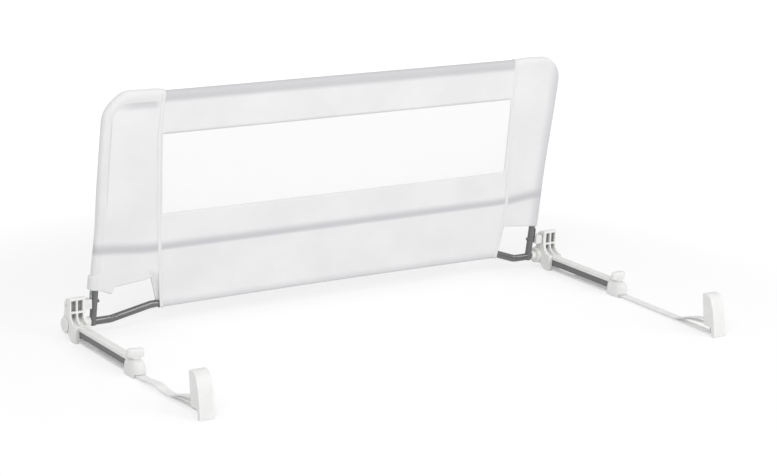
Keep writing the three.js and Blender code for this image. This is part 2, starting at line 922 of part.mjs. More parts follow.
// The knob is drawn about its own axis, with its wing along X
function clampKnob() {
  const bend = knobWingWidth / 2;
  const reach = knobWingLength / 2 - bend;
  const shape = new THREE.Shape();
  shape.absarc(reach, 0, bend, -Math.PI / 2, Math.PI / 2, false);
  shape.absarc(-reach, 0, bend, Math.PI / 2, 1.5 * Math.PI, false);
  const base = capTop + gap;
  const collarTop = base + knobCollarHeight;
  return join(
    pulledZ(shape, collarTop - knobEdge, base + knobHeight, knobEdge, knobEdgeSteps, cornerSteps),
    rodZ(base, collarTop, knobCollarRadius, 0, 0, fineSides),
  ).subtract(rodZ(0, collarTop + knobCollarHeight, studRadius, 0, 0));
}

function clampStud() {
  const low = strapLift + 2 * strapThick + 2 * gap;
  const high = capTop + gap + 2 * knobCollarHeight - gap;
  return rodZ(low, high, studRadius - gap, 0, 0);
}

// A run of (y, z) points given the thickness and the width of the webbing
function ribbon(stations) {
  const half = strapThick / 2;
  const offset = ({ place, tangent }, sign) => [
    place.y - sign * half * tangent.z,
    place.z + sign * half * tangent.y,
  ];
  const one = stations.map((station) => offset(station, 1));
  const other = stations.map((station) => offset(station, -1)).reverse();
  return pulledX(outlineOf([...one, ...other]), -strapWidth / 2, strapWidth / 2);
}

// Beyond the start a strap drifts sideways by the skew for each millimetre
function drifted(body, start, skew) {
  const [near, far] = body.splitByPlane([0, 1, 0], start);
  const shear = new THREE.Matrix4().set(
    1, -skew, 0, skew * start,
    0, 1, 0, 0,
    0, 0, 1, 0,
    0, 0, 0, 1,
  );
  return near.add(far.transform(shear.toArray()));
}

// It runs out flat, up in front of the anchor's bar, over it and back down to itself,
// drifting sideways by a little on the way and lifting from the floor along its wave.
// A second layer closes the loop under the bar
function strap(reach, drift, { waveShares, waveLifts, splitLift, footLift, humpLift }) {
  const lower = strapLift + strapThick / 2;
  const upper = lower + strapThick + gap;
  const barY = -reach + anchorBarDepth;
  const splitY = -reach + strapSplit;
  const around = anchorBarRadius + slack + strapThick / 2;
  const riser = barY - around;
  const splitZ = upper + splitLift;
  const humpY = splitY + loopHumpShare * (riser - splitY);
  const humpZ = splitZ + loopHumpShare * (anchorBarHeight + around - splitZ) + humpLift;
  const toBar = new THREE.Vector2(barY - humpY, anchorBarHeight - humpZ);
  const climb = toBar.angle() - Math.asin(around / toBar.length());
  const crest = humpZ + (riser - humpY) * Math.tan(climb);
  const start = -armReach - capFront;
  const wave = waveShares.map((share, i) => [start + share * (splitY - start), waveLifts[i]]);
  const stations = bentRun(
    [
      [0, -strapTail, lower],
      ...wave.map(([y, lift]) => [0, y, lower + lift]),
      [0, riser, lower + footLift],
      [0, riser, crest],
      [0, humpY, humpZ],
      [0, splitY, splitZ],
      ...[...wave].reverse().map(([y, lift]) => [0, y, upper + lift]),
      [0, -armReach + strapUpperRun, upper],
    ],
    [
      ...wave.map(() => strapSplitBend),
      around,
      around,
      strapSplitBend,
      strapSplitBend,
      ...wave.map(() => strapSplitBend),
    ],
    strapBendSteps,
  );
  const returning = bentRun(
    [
      [0, splitY, splitZ],
      [0, humpY, humpZ - loopHumpShare * (2 * around + loopSag)],
      [0, riser, anchorBarHeight - around - loopSag],
    ],
    [strapSplitBend],
    strapBendSteps,
  );
  return drifted(join(ribbon(stations), ribbon(returning)), start, drift / (start - barY));
}

// Anchor outline: y runs back from its front face, z up
function anchorOutline(reach) {
  const shape = new THREE.Shape();
  shape.moveTo(-reach, 0);
  shape.lineTo(-reach, anchorPlateFoot);
  shape.bezierCurveTo(
    -reach + anchorToe / 2, anchorHeight / 2,
    -reach + anchorToe, anchorHeight,
    -reach + anchorCrown, anchorHeight,
  );
  shape.lineTo(-reach + anchorDepth - anchorRearBend, anchorHeight);
  shape.quadraticCurveTo(-reach + anchorDepth, anchorHeight, -reach + anchorDepth, anchorRearTop);
  shape.lineTo(-reach + anchorBlockDepth, anchorBlockFoot);
  shape.lineTo(-reach + anchorToe, anchorBlockFoot);
  shape.lineTo(-reach + anchorPlateDepth, 0);
  return shape;
}

function anchorHollow(reach) {
  const shape = new THREE.Shape();
  const front = -reach + anchorToe;
  const back = -reach + anchorDepth + overrun;
  shape.moveTo(front, anchorBlockFoot);
  shape.lineTo(front + anchorWall, anchorShoulder - anchorToe);
  shape.lineTo(-reach + anchorCrown, anchorHeight - anchorWall);
  shape.lineTo(back, anchorShoulder - 2 * anchorWall);
  shape.lineTo(back, -overrun);
  shape.lineTo(-reach + anchorPlateDepth, -overrun);
  shape.lineTo(-reach + anchorPlateDepth, 0);
  return shape;
}

function anchorShell(reach) {
  const half = anchorWidth / 2;
  const side = half - anchorWall;
  const seat = side + anchorBarSeat + gap;
  return cut(
    pulledX(anchorOutline(reach), -half, half),
    pulledX(anchorHollow(reach), -side, side),
    rodX(-seat, seat, anchorBarRadius + gap, -reach + anchorBarDepth, anchorBarHeight),
  );
}

// The bar's ends sit in blind holes in the anchor's walls
function anchorBar(reach) {
  const half = anchorWidth / 2 - anchorWall + anchorBarSeat;
  return rodX(-half, half, anchorBarRadius, -reach + anchorBarDepth, anchorBarHeight);
}

function addFrame() {
  const frame = new THREE.Group();
  frame.position.z = pivotHeight;
  frame.rotation.x = lean;
  parts.add(frame);
  for (const [name, side] of [["left", -1], ["right", 1]]) {
    add(frame, `${name}_side_tube`, sideTube(), "tube", side);
    add(frame, `${name}_bottom_plug`, endPlug(0, boltRadius + gap, bottomPlugLength), "plastic", side);
    add(
      frame,
      `${name}_crossbar_plug`,
      endPlug(crossbarHeight + crossbarEndRise, plugBoreRadius, crossbarPlugLength),
      "plastic",
      side,
    );
    add(frame, `${name}_crossbar_screw`, crossbarScrew(), "steel", side);
    add(frame, `${name}_pivot_bolt`, pivotBolt(), "steel", side);
    add(frame, `${name}_latch_leaf`, leafSpring(), "steel", side);
    add(frame, `${name}_leaf_rivet`, leafRivet(), "steel", side);
    add(frame, `${name}_release_button`, releaseButton(), "tube", side);
  }
  add(frame, "top_tube", topTube(), "tube");
  add(
    frame,
    "bottom_tube",
    crossTube(
      0,
      bottomRise,
      tubeX - bottomEndLength,
      leftSeam + leftBottomMiddleOut,
      rightSeam + rightBottomMiddleOut,
    ),
    "tube",
  );
  const crossbarEnd = crossbarHeight + crossbarEndRise;
  add(
    frame,
    "crossbar",
    crossTube(
      crossbarEnd,
      crossbarHeight,
      tubeX - crossbarEndLength,
      tubeX - crossbarMiddleIn,
      tubeX - crossbarMiddleIn,
    ),
    "tube",
  );
  add(frame, "cover_left_panel", join(sidePanel(-1), leftCuff()), "cloth");
  add(frame, "cover_right_panel", sidePanel(1), "cloth");
  add(frame, "cover_centre_panel", centrePanel(), "cloth");
  add(frame, "window_front", windowSheet(-1), "netting");
  add(frame, "window_back", windowSheet(1), "netting");
  add(frame, "left_seam_binding", seamBinding(-1, leftSeamShift), "cloth");
  add(frame, "right_seam_binding", seamBinding(1, rightSeamShift), "cloth");
}

function addArm(name, side, reach, drift, strapBody) {
  const arm = new THREE.Group();
  arm.position.x = side * armSpread;
  parts.add(arm);
  add(arm, `${name}_bracket`, bracketBody(), "plastic", side);
  add(arm, `${name}_pivot_cap`, pivotCap(), "plastic", side);
  add(arm, `${name}_pivot_spacer`, pivotSpacer(), "plastic", side);
  add(arm, `${name}_latch_block`, latchBlock(), "plastic", side);
  add(arm, `${name}_latch_spring`, latchSpring(), "steel", side);
  add(arm, `${name}_arm_tube`, armTube(), "tube", side);
  add(arm, `${name}_arm_cover`, armCover(), "plastic", side);
  add(arm, `${name}_arm_screw`, armScrew(), "steel", side);
  add(arm, `${name}_end_cap`, endCap(), "plastic", side);
  add(arm, `${name}_strap`, strapBody, "webbing", side);
  add(arm, `${name}_anchor`, anchorShell(reach).translate([drift, 0, 0]), "plastic", side);
  add(arm, `${name}_anchor_bar`, anchorBar(reach).translate([drift, 0, 0]), "steel", side);
  const knob = clampKnob().rotate([0, 0, side < 0 ? -leftKnobTurnDeg : 0]);
  for (const [piece, body, finish] of [["clamp_knob", knob, "plastic"], ["clamp_stud", clampStud(), "steel"]]) {
    const mesh = add(arm, `${name}_${piece}`, body, finish, side);
    mesh.position.y = -armReach;
  }
}

addFrame();
addArm(
  "left",
  -1,
  leftStrapReach,
  leftStrapDrift,
  strap(leftStrapReach, leftStrapDrift, leftStrapForm),
);
addArm(
  "right",
  1,
  rightStrapReach,
  rightStrapDrift,
  strap(rightStrapReach, rightStrapDrift, rightStrapForm),
);

// The origin is under the middle of the whole piece, on the surface that it stands on
const bounds = new THREE.Box3().setFromObject(parts, true);
const middle = bounds.getCenter(new THREE.Vector3());
parts.position.set(-middle.x, -middle.y, -bounds.min.z);

export default parts;
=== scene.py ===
"""Dresses the folding bed guard rail: sewn cover, netting, webbing, mouldings, tubes, light and camera.

Blender works in metres with +Z up. The frame's own plane is described in millimetres: x along the rail,
s up the rail from the pivot line, and y through the cloth, away from the mattress.
"""

import json
import math

import bmesh
import bpy
from mathutils import Matrix, Vector, noise


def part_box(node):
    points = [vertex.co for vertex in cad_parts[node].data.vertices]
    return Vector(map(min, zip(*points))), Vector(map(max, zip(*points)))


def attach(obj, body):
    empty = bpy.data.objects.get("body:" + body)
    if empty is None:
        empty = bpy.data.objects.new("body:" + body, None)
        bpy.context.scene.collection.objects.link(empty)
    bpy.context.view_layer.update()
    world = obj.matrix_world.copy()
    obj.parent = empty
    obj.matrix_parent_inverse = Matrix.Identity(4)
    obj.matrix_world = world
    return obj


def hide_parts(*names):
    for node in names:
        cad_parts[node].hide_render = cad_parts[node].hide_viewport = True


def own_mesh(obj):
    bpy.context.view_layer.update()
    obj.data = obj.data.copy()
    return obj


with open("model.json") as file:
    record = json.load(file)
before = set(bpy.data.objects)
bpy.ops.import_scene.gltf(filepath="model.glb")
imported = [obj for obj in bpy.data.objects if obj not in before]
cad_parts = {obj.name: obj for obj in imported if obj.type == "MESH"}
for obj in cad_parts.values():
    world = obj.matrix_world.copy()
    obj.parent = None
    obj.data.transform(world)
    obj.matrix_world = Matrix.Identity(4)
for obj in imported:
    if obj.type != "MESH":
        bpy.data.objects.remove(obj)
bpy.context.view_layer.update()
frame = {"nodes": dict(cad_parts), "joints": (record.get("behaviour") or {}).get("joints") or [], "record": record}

MM = 0.001
SIDES = (("left", -1), ("right", 1))

# Rail: the plane that the cover lies in
LEAN = math.radians(7.9)
HALF_WIDTH = 500
HEIGHT = 425
TUBE_RADIUS = 6.35
SLEEVE_HALF = 7.45
CORNER = 49.45
CLOTH = 0.8
COVER_BOTTOM = 9.5
SEAM_GAP = 0.15
WINDOW_BOTTOM = 194
WINDOW_TOP = 346

# Seams as (x, s) points from the top down, and the window's sides as x at its top and its bottom
LEFT_SEAM = ((-380.5, HEIGHT), (-384, WINDOW_TOP), (-373, WINDOW_BOTTOM), (-365, 120), (-352.5, COVER_BOTTOM))
RIGHT_SEAM = ((387.5, HEIGHT), (410.5, 134), (408.5, 78), (401, COVER_BOTTOM))
WINDOW_LEFT = (-382, -371)
WINDOW_RIGHT = (385.5, 392.7)
CENTRE_KNOTS = (-366, -364, 391, 402)
WINDOW_LEFT_MARGIN = 1.2
WINDOW_RIGHT_MARGIN = 4
TAPE_WIDTH = 7
TAPE_PROUD = 0.45
TAPE_CLEAR = 0.1
TAPE_SHIFT = {-1: -3, 1: -1.5}

# Nets behind the window's edge: they come forward where they leave it
NET_TUCK = 1
NET_THICK = 0.4
NET_CLEAR = 0.1
NET_RISE = (-1, 3)
NET_RISE_SHARE = 0.5

# Thick hem round the left upright
CUFF_TOP = 87
CUFF_STEP = 2.5
CUFF_FLARE = 4
CUFF_STAND = 1.3
CUFF_INNER = -474
CUFF_OUTER = -490

# Crossbar inside the sleeve: middle height, rise of its ends and where it rises
BAR_HEIGHT = 131
BAR_RISE = 8
BAR_RISE_START = 385
BAR_RISE_END = 492

# Lower edges of the side panels as (x, s) corners, from the outside to the seam
INNER_FACE = 483.2
STRIP_FOOT = 23.6
LEFT_FOOT = ((-500, 64), (-INNER_FACE, 61), (-462, 50.5), (-457.5, 52), (-454.5, 63), (-376.5, 70.5),
             (-366.2, STRIP_FOOT), (-355.7, STRIP_FOOT), (-355.4, COVER_BOTTOM), (-352.5, COVER_BOTTOM))
RIGHT_FOOT = ((500, 68), (INNER_FACE, 68), (406.7, 76), (402.5, COVER_BOTTOM), (401, COVER_BOTTOM))

# How the sewn cover leaves its straight outline: sides drawn in, hem hanging, loose tops of the side panels
SIDE_DRAW = {-1: (2.2, 175, 55), 1: (2.4, 190, 90)}
DRAW_FADE = 60
HEM_SAG = 2.3
HEM_LIFT = 0.5
HEM_SPAN = 375
HEM_FADE = 30
TOP_RISES = {
    -1: ((-500, -1), (-486, 0), (-455, 5.6), (-400, 5), (-380.5, 3)),
    1: ((387.5, 0.8), (410, 2.4), (450, 1.8), (485, 0), (500, 0)),
}
RISE_FADE = 17

# Mouth of the left cut-out: the two layers meet along its slanted edge, given as (x, s) from the top down
MOUTH_EDGE = ((-390, 92), (-379, 70), (-367.5, STRIP_FOOT), (-366, 10))
MOUTH_REACH = 17
MOUTH_HALF = 1.6
MOUTH_TOP = 67
MOUTH_FADE = 22
MOUTH_SHIFT = 3

# Bottom tube: (x, s) corners of its centre line, and its flattened ends
BOTTOM_CORNERS = ((-487, 0), (-454, 0), (-375, 16.9), (405, 16.9), (454, 0), (487, 0))
BOTTOM_BEND = 42
BOTTOM_SIDES = 28
BEND_STEPS = 8
FINE_START = 353
FINE_STEP = 2
COARSE_STEP = 30
FLAT_START = 352
FLAT_END = 372
FLAT_DROP = 1.3
FLAT_HALF_HEIGHT = 7.4
FLAT_HALF_DEPTH = 5.6

# Crimps of the bottom tube: x, reach along x, depth and the angle round the tube; then their ridges
CRIMPS = ((-450, 7, 1.4, 0.9), (-459, 4, 1.0, 1.5), (448, 6, 1.3, 0.9), (458, 4, 0.9, 1.5))
RIDGE_WAVE = 1.1
RIDGE_TWIST = 3
RIDGE_FOCUS = 4

# Cloth mesh
EDGE_STEPS = 7
GRID = 5.5
FOOT_BLEND = 105
FOOT_ROWS = 18

# How far the cloth sinks between the tubes: where the sinking starts, over how far, and how deep
LEFT_TOP_DIP = (14, 5, 4.2)
LEFT_SIDE_DIP = (15, 4.5, 3.2)
TOP_DIP = (9, 9, 1.3)
RIGHT_DIP = (8, 16, 1.8)
REST_SINK = 0.7
SINK_FADE = 80
SEAM_SOFT = 4
SEAM_FIRM = 30
LEFT_CREASE_LOW = 215
LEFT_CREASE_HIGH = 300

# Where the cloth can't sink: at the crossbar, above the hem and near the outer edges
BAR_CONTACT = 13
FOOT_CONTACT = (9, 33)
EDGE_CONTACT = (9, 15)
MOST_PROUD = 0.3

# Unevenness of the cloth: length along x and along s, height, and its place in the noise
BROAD_RIPPLE = (90, 55, 0.45, 3.1)
TIGHT_RIPPLE = (24, 60, 0.18, 7.7)

# Webbing
STRAP_WIDTH = 18
STRAP_THICK = 1.4
STRAP_LIFT = 1.8
LAYER_GAP = 0.3
STRAP_TAIL = 36
STRAP_UPPER_RUN = 138
STRAP_SPLIT = 121
SPLIT_BEND = 40
ARM_REACH = 238
CAP_FRONT = 22.4
BAR_DEPTH = 22
BAR_UP = 26
BAR_RADIUS = 2.5
STRAP_SLACK = 0.4
STRAP_STEP = 4
LOOP_SAG = 3
HUMP_SHARE = 0.42
STRAPS = {
    "left": dict(reach=495, shares=(0.17, 0.545, 0.805), lifts=(0, 5.5, 1.2), split=1.6, foot=9, hump=3.5),
    "right": dict(reach=543.5, shares=(), lifts=(), split=0, foot=0, hump=3),
}
STRAP_DRIFTS = {"left": -3.8, "right": -7.5}

# Latch springs
WIRE_RADIUS = 0.55
WIRE_SIDES = 8
SPRING_TURNS = 6
TURN_STEPS = 18

# Mouldings: edge radius in millimetres and look, and the angles in degrees that tell an edge from a face
SOFT_EDGES = (
    ("bracket", 0.8, "bracket"), ("pivot_cap", 0.8, "plastic"), ("pivot_spacer", 0.4, "plastic"),
    ("latch_block", 0.6, "plastic"), ("arm_cover", 0.5, "plastic"), ("end_cap", 1.0, "anchor"),
    ("clamp_knob", 0.8, "anchor"), ("anchor", 0.9, "anchor"),
)
MERGE_DISTANCE = 1e-6
FLAT_ANGLE = 0.5
MOULDING_ANGLE = 32
BEVEL_ANGLE = 35
BEVEL_SEGMENTS = 3
SOLID_ANGLE = 35
SHARP_ANGLE = 40
TAPE_ANGLE = 60
STRAP_ANGLE = 50

# Floor, in metres: its size, how far its shading reaches, and how strongly it glows
FLOOR_REACH = 6.0
FLOOR_DROP = 0.0003
STAGE_NEAR = 0.75
STAGE_FAR = 1.5
FLOOR_GREY = (0.9, 0.9, 0.9, 1)
FLOOR_GLOW = 1.1
NEAR_GLOW = 0.55

# Light: strength all round, strength that the camera sees, and softboxes as place, aim, size and power
WORLD_SOFT = 0.68
WORLD_BRIGHT = 1.02
SOFTBOXES = (
    ("key", (-2.2, -2.2, 3.2), (0, 0.2, 0.1), (2.4, 2.0), 44),
    ("fill", (1.9, -3.4, 2.0), (0, 0.2, 0.1), (3.2, 1.6), 43),
    ("front", (0.6, -3.6, 0.8), (0, -0.2, 0.05), (1.6, 1.0), 10),
)

# Camera, from the photograph's perspective
IMAGE_WIDTH = 777
SENSOR = 36
FOCAL_PIXELS = 2184.98
AZIMUTH = math.radians(-34.454)
ELEVATION = math.radians(14.826)
ROLL = math.radians(2.123)
CAMERA_DISTANCE = 4.2345
CAMERA_TARGET = (0.14487, 0.264, 0.10317)
CLIP_END = 50


def hinge_place(name):
    return next(j for j in frame["joints"] if j["name"] == f"{name}_arm_hinge")["pos_m"]


pivot = Vector(hinge_place("left"))


def frame_arm_x(name):
    return abs(hinge_place(name)[0]) / MM


def place(x, s, y):
    """A point of the leaning frame, given in millimetres, in the row frame."""
    return Vector((
        x * MM,
        pivot.y + (y * math.cos(LEAN) - s * math.sin(LEAN)) * MM,
        pivot.z + (y * math.sin(LEAN) + s * math.cos(LEAN)) * MM,
    ))


def line_x(points, s):
    """x at height s on a line of (x, s) points that runs from the top down."""
    for (xa, sa), (xb, sb) in zip(points, points[1:]):
        if s >= sb:
            return xb + (xa - xb) * min(1.0, (s - sb) / (sa - sb))
    return points[-1][0]


def seam_x(side, s):
    return line_x(LEFT_SEAM if side < 0 else RIGHT_SEAM, s)


def smooth(a, b, value):
    share = min(1.0, max(0.0, (value - a) / (b - a)))
    return share * share * (3 - 2 * share)


# Materials

class Maker:
    """Builds the nodes of one material or world: most calls add a node and return its output socket."""

    def __init__(self, name, owner=None):
        self.material = owner or bpy.data.materials.new(name)
        self.material.use_nodes = True
        self.nodes = self.material.node_tree.nodes
        self.links = self.material.node_tree.links
        self.shader = self.nodes.get("Principled BSDF")

    def set(self, **values):
        for name, value in values.items():
            self.shader.inputs[name.replace("_", " ")].default_value = value

    def put(self, value, socket):
        if isinstance(value, bpy.types.NodeSocket):
            self.links.new(value, socket)
        elif value is not None:
            socket.default_value = value

    def node(self, kind, **inputs):
        node = self.nodes.new(f"ShaderNode{kind}")
        for name, value in inputs.items():
            self.put(value, node.inputs[name.replace("_", " ")])
        return node

    def coordinates(self):
        return self.node("TexCoord").outputs["Object"]

    def flat(self):
        node = self.node("UVMap")
        node.uv_map = "flat"
        return node.outputs["UV"]

    def part(self, vector, axis):
        return self.node("SeparateXYZ", Vector=vector).outputs[axis]

    def noise(self, vector, scale, detail=2.0, roughness=0.5):
        node = self.node("TexNoise", Vector=vector, Scale=scale, Detail=detail, Roughness=roughness)
        return node.outputs["Fac"]

    def scaled(self, vector, scale):
        return self.node("Mapping", Vector=vector, Scale=scale).outputs[0]

    def math(self, operation, *values):
        node = self.node("Math")
        node.operation = operation
        for socket, value in zip(node.inputs, values):
            self.put(value, socket)
        return node.outputs[0]

    def ramp(self, value, low, high, out_low=0.0, out_high=1.0):
        ends = dict(From_Min=low, From_Max=high, To_Min=out_low, To_Max=out_high)
        node = self.node("MapRange", Value=value, **ends)
        node.interpolation_type = "SMOOTHSTEP"
        return node.outputs[0]

    def fade(self, value, low, high):
        return self.ramp(value, low, high, 1.0, 0.0)

    def product(self, first, *others):
        for value in others:
            first = self.math("MULTIPLY", first, value)
        return first

    def mix(self, share, a, b):
        node = self.node("Mix")
        node.data_type = "RGBA"
        self.put(share, node.inputs["Factor"])
        for socket, value in zip([s for s in node.inputs if s.type == "RGBA"], (a, b)):
            self.put(value if isinstance(value, bpy.types.NodeSocket) else (*value, 1), socket)
        return next(s for s in node.outputs if s.type == "RGBA")

    def bump(self, height, strength, distance, below=None):
        return self.node("Bump", Strength=strength, Distance=distance, Height=height, Normal=below).outputs[0]

    def waves(self, value, pitch):
        return self.math("SINE", self.math("MULTIPLY", value, math.tau / pitch))

    def weave(self, vector, pitch):
        """Height of a plain weave: two sets of round threads that take turns on top."""
        return self.product(*(self.waves(self.part(vector, axis), pitch) for axis in "XY"))

    def join(self, share, a, b, output):
        """Two shaders, mixed into the output node."""
        mix = self.node("MixShader")
        for socket, value in zip(mix.inputs, (share, a.outputs[0], b.outputs[0])):
            self.put(value, socket)
        self.put(mix.outputs[0], self.nodes[output].inputs["Surface"])

    def finish(self, color=None, roughness=None, normal=None):
        self.put(color, self.shader.inputs["Base Color"])
        self.put(roughness, self.shader.inputs["Roughness"])
        self.put(normal, self.shader.inputs["Normal"])
        return self.material


TRANSLUCENT = dict(Subsurface_Weight=0.5, Subsurface_Radius=(1.0, 1.0, 1.0), Subsurface_Scale=0.004)
CLOTH_WHITE = (0.793, 0.793, 0.798)
CLOTH_SHADE = (0.753, 0.753, 0.761)
# Painted shade on the cloth, partly dark tube that shows through it
SHADE_AND_SHOW_THROUGH = (0.50, 0.50, 0.525)
HEM_WHITE = (0.75, 0.75, 0.755)
TAPE_WHITE = (0.77, 0.77, 0.775)
NET_WHITE = (0.88, 0.88, 0.88)
NET_HOLE = (0.823, 0.823, 0.826)
STRAP_SOILED = (0.75, 0.75, 0.745)
STRAP_WHITE = (0.80, 0.80, 0.795)
# Painted shade for the grooves of the webbing
STRAP_GROOVE_SHADE = (0.63, 0.63, 0.625)
PLASTIC_WHITE = (0.83, 0.83, 0.815)
PLASTIC_SHADE = (0.79, 0.79, 0.775)
ANCHOR_WHITE = (0.80, 0.80, 0.795)
ANCHOR_SHADE = (0.765, 0.765, 0.758)
# Painted shade for the deep pockets of the brackets
POCKET_PAINTED_SHADE = (0.16, 0.155, 0.15)
ZINC_DARK = (0.42, 0.43, 0.45)
ZINC_LIGHT = (0.56, 0.57, 0.58)
MATT_COAT = dict(dark=(0.158, 0.158, 0.16), light=(0.195, 0.195, 0.197), rough=(0.34, 0.46), shine=0.5,
                 coat=0)
GLOSSY_COAT = dict(dark=(0.085, 0.085, 0.087), light=(0.11, 0.11, 0.112), rough=(0.1, 0.16), shine=0.9,
                   coat=1)

# Textures: cells per metre of a noise, pitch of what repeats in metres, and a bump as strength and height
MIDDLE_BAND = (0.3, 0.7)
BLOTCH_CELLS = 9.0
SLUB_CELLS = (60.0, 900.0, 1.0)
SLUB_BAND = (0.55, 0.75)
SLUB_SHARE = 0.25
CREASE_CELLS = (16.0, 30.0, 1.0)
CREASE_BUMP = (0.25, 0.004)
THREAD_PITCH = 0.0011
THREAD_BUMP = (0.18, 0.0002)
STITCH_ROW = 0.0023
STITCH_EDGE = (0.0003, 0.0006)
STITCH_PITCH = 0.0028
STITCH_BAND = (-0.2, 0.3)
STITCH_DENT = 1.4
STITCH_BUMP = (0.5, 0.0004)
STITCH_SHARE = 0.15
TAPE_RIB_PITCH = 0.0009
TAPE_RIB_BUMP = (0.12, 0.0002)
NET_PITCH = 0.0022
NET_HOLE_BAND = (0.45, 0.85)
NET_HOLE_SHARE = 0.3
NET_BUMP = (0.2, -0.0003)
VEE_WIDTH = 0.006
STRAP_RIB_PITCH = 0.0016
CORD_PITCH = 0.0012
CORD_SHARE = 0.5
SOIL_CELLS = 40.0
SOIL_BAND = (0.35, 0.7)
GROOVE_BAND = (-1.2, 0.2)
GROOVE_SHADE_SHARE = 0.3
STRAP_BUMP = (0.35, 0.0003)
# Painted light: strength of the webbing's glow
STRAP_PAINTED_GLOW = 0.09
GRAIN_CELLS = 1500.0
GRAIN_ROUGH = (0.42, 0.55)
GRAIN_BUMP = (0.12, 0.0002)
FLOW_CELLS = 55.0
FLOW_BAND = (0.3, 0.75)
PEEL_CELLS = 900.0
PEEL_BUMP = (0.15, 0.0002)
WEAR_CELLS = 35.0
WEAR_BAND = (0.45, 0.8)
BRUSH_CELLS = (200.0, 2500.0, 2500.0)
BRUSH_ROUGH = (0.28, 0.42)
BRUSH_BUMP = (0.05, 0.0001)
SPANGLE_CELLS = 400.0

# Painted shade on the cloth, partly dark tube that shows through it: where it starts and ends, and its share
BAR_EDGE_ABOVE = -0.001
BAR_EDGE_BELOW = -0.003
BAR_SOFT_CENTRE = (0.014, 0.010)
BAR_SOFT_SIDE = (0.016, 0.014)
BAR_SHARE_CENTRE = 0.77
BAR_SHARE_SIDE = 0.78
FOOT_BAND = (2, 20)
FOOT_SHARE = 0.5
TOP_BAND = (-24, -13)
TOP_SHARE = 0.68
FOLD_X = 0.4815
FOLD_EDGE = (0.0006, 0.0024)
FOLD_TOP = (0.372, 0.392)
FOLD_FOOT = (0.19, 0.25)
FOLD_SHADE_SHARE = 0.40
CREASE_TOP = (-19, -16)
CREASE_FOOT = (-34, -24)
CREASE_INNER = (-0.400, -0.386)
CREASE_OUTER = (-0.472, -0.440)
CREASE_SHADE_SHARE = 0.5
LEFT_TUBE_BAND = (-0.486, -0.482)
LEFT_TUBE_SHARE = 0.10
RIGHT_TUBE_BAND = (0.470, 0.496)
RIGHT_TUBE_AND_SHADE_SHARE = 0.62

# Painted shade deep in a bracket's pockets, in metres: off the arm's middle, off the pivot and above the floor
POCKET_SIDE = (0.01425, 0.01455)
POCKET_BACK = (-0.0195, -0.0112)
POCKET_FRONT = (-0.0102, -0.0085)
POCKET_FOOT = (0.0315, 0.046)
POCKET_TOP = (0.0732, 0.0738)
POCKET_SHADE_SHARE = 0.65


def metres(base, offsets):
    return [(base + offset) * MM for offset in offsets]


def cloth_base(make):
    """Woven polyester: slightly uneven white."""
    flat = make.flat()
    blotch = make.noise(flat, BLOTCH_CELLS, 3.0)
    slub = make.noise(make.scaled(flat, SLUB_CELLS), 1.0, 1.0)
    color = make.mix(make.ramp(blotch, *MIDDLE_BAND), CLOTH_SHADE, CLOTH_WHITE)
    color = make.mix(make.product(make.ramp(slub, *SLUB_BAND), SLUB_SHARE), color, CLOTH_SHADE)
    return flat, color


def cloth_finish(make, flat, color, shades):
    """Adds the painted shades, partly dark tube that shows through, each given with its share, and the relief of a
    fine plain weave with soft creases.
    """
    for shade, share in shades:
        color = make.mix(make.product(shade, share), color, SHADE_AND_SHOW_THROUGH)
    make.set(Sheen_Weight=0.15, Sheen_Roughness=0.5, Specular_IOR_Level=0.2)
    creases = make.noise(make.scaled(flat, CREASE_CELLS), 1.0, 3.0, 0.55)
    below = make.bump(creases, *CREASE_BUMP)
    return make.finish(color, 0.85, make.bump(make.weave(flat, THREAD_PITCH), *THREAD_BUMP, below))


def bar_shadow(make, flat, above_reach, below_reach):
    """Share of painted shade along the crossbar, partly dark bar that shows through the cloth, softer above the
    bar than below it.
    """
    x = make.math("ABSOLUTE", make.part(flat, "X"))
    rise = (BAR_RISE_START * MM, BAR_RISE_END * MM)
    middle = make.ramp(x, *rise, *metres(BAR_HEIGHT, (0, BAR_RISE)))
    above = make.math("SUBTRACT", make.part(flat, "Y"), middle)
    upper = make.fade(above, BAR_EDGE_ABOVE, above_reach)
    return make.product(upper, make.ramp(above, -below_reach, BAR_EDGE_BELOW))


def left_fold_shade(make, flat):
    """Painted shade: a thin dark line where the left panel leaves the upright."""
    s = make.part(flat, "Y")
    line = make.math("ABSOLUTE", make.math("ADD", make.part(flat, "X"), FOLD_X))
    return make.product(make.fade(line, *FOLD_EDGE), make.fade(s, *FOLD_TOP), make.ramp(s, *FOLD_FOOT))


def tube_band_and_edge_shade(make, flat):
    """Share of dark tube that shows through where the cloth lies on the uprights, with painted shade on the
    cloth's rounded edges, strongest at the right.
    """
    x = make.part(flat, "X")
    left = make.product(make.fade(x, *LEFT_TUBE_BAND), LEFT_TUBE_SHARE)
    right = make.product(make.ramp(x, *RIGHT_TUBE_BAND), RIGHT_TUBE_AND_SHADE_SHARE)
    return make.math("MAXIMUM", left, right)


def crease_shadow(make, flat):
    """Painted shade in the deep fold of the left panel below the frame's top tube."""
    s = make.part(flat, "Y")
    x = make.part(flat, "X")
    upper = make.fade(s, *metres(HEIGHT, CREASE_TOP))
    lower = make.ramp(s, *metres(HEIGHT, CREASE_FOOT))
    return make.product(upper, lower, make.fade(x, *CREASE_INNER), make.ramp(x, *CREASE_OUTER))


def centre_cloth():
    make = Maker("centre_cloth")
    flat, color = cloth_base(make)
    s = make.part(flat, "Y")
    # Painted shade, partly dark tube that shows through: a band along the crossbar, a band under the top edge, and
    # darker towards the hem where the cloth turns under the bottom tube.
    return cloth_finish(make, flat, color, (
        (bar_shadow(make, flat, *BAR_SOFT_CENTRE), BAR_SHARE_CENTRE),
        (make.ramp(s, *metres(HEIGHT, TOP_BAND)), TOP_SHARE),
        (make.fade(s, *metres(COVER_BOTTOM, FOOT_BAND)), FOOT_SHARE),
    ))


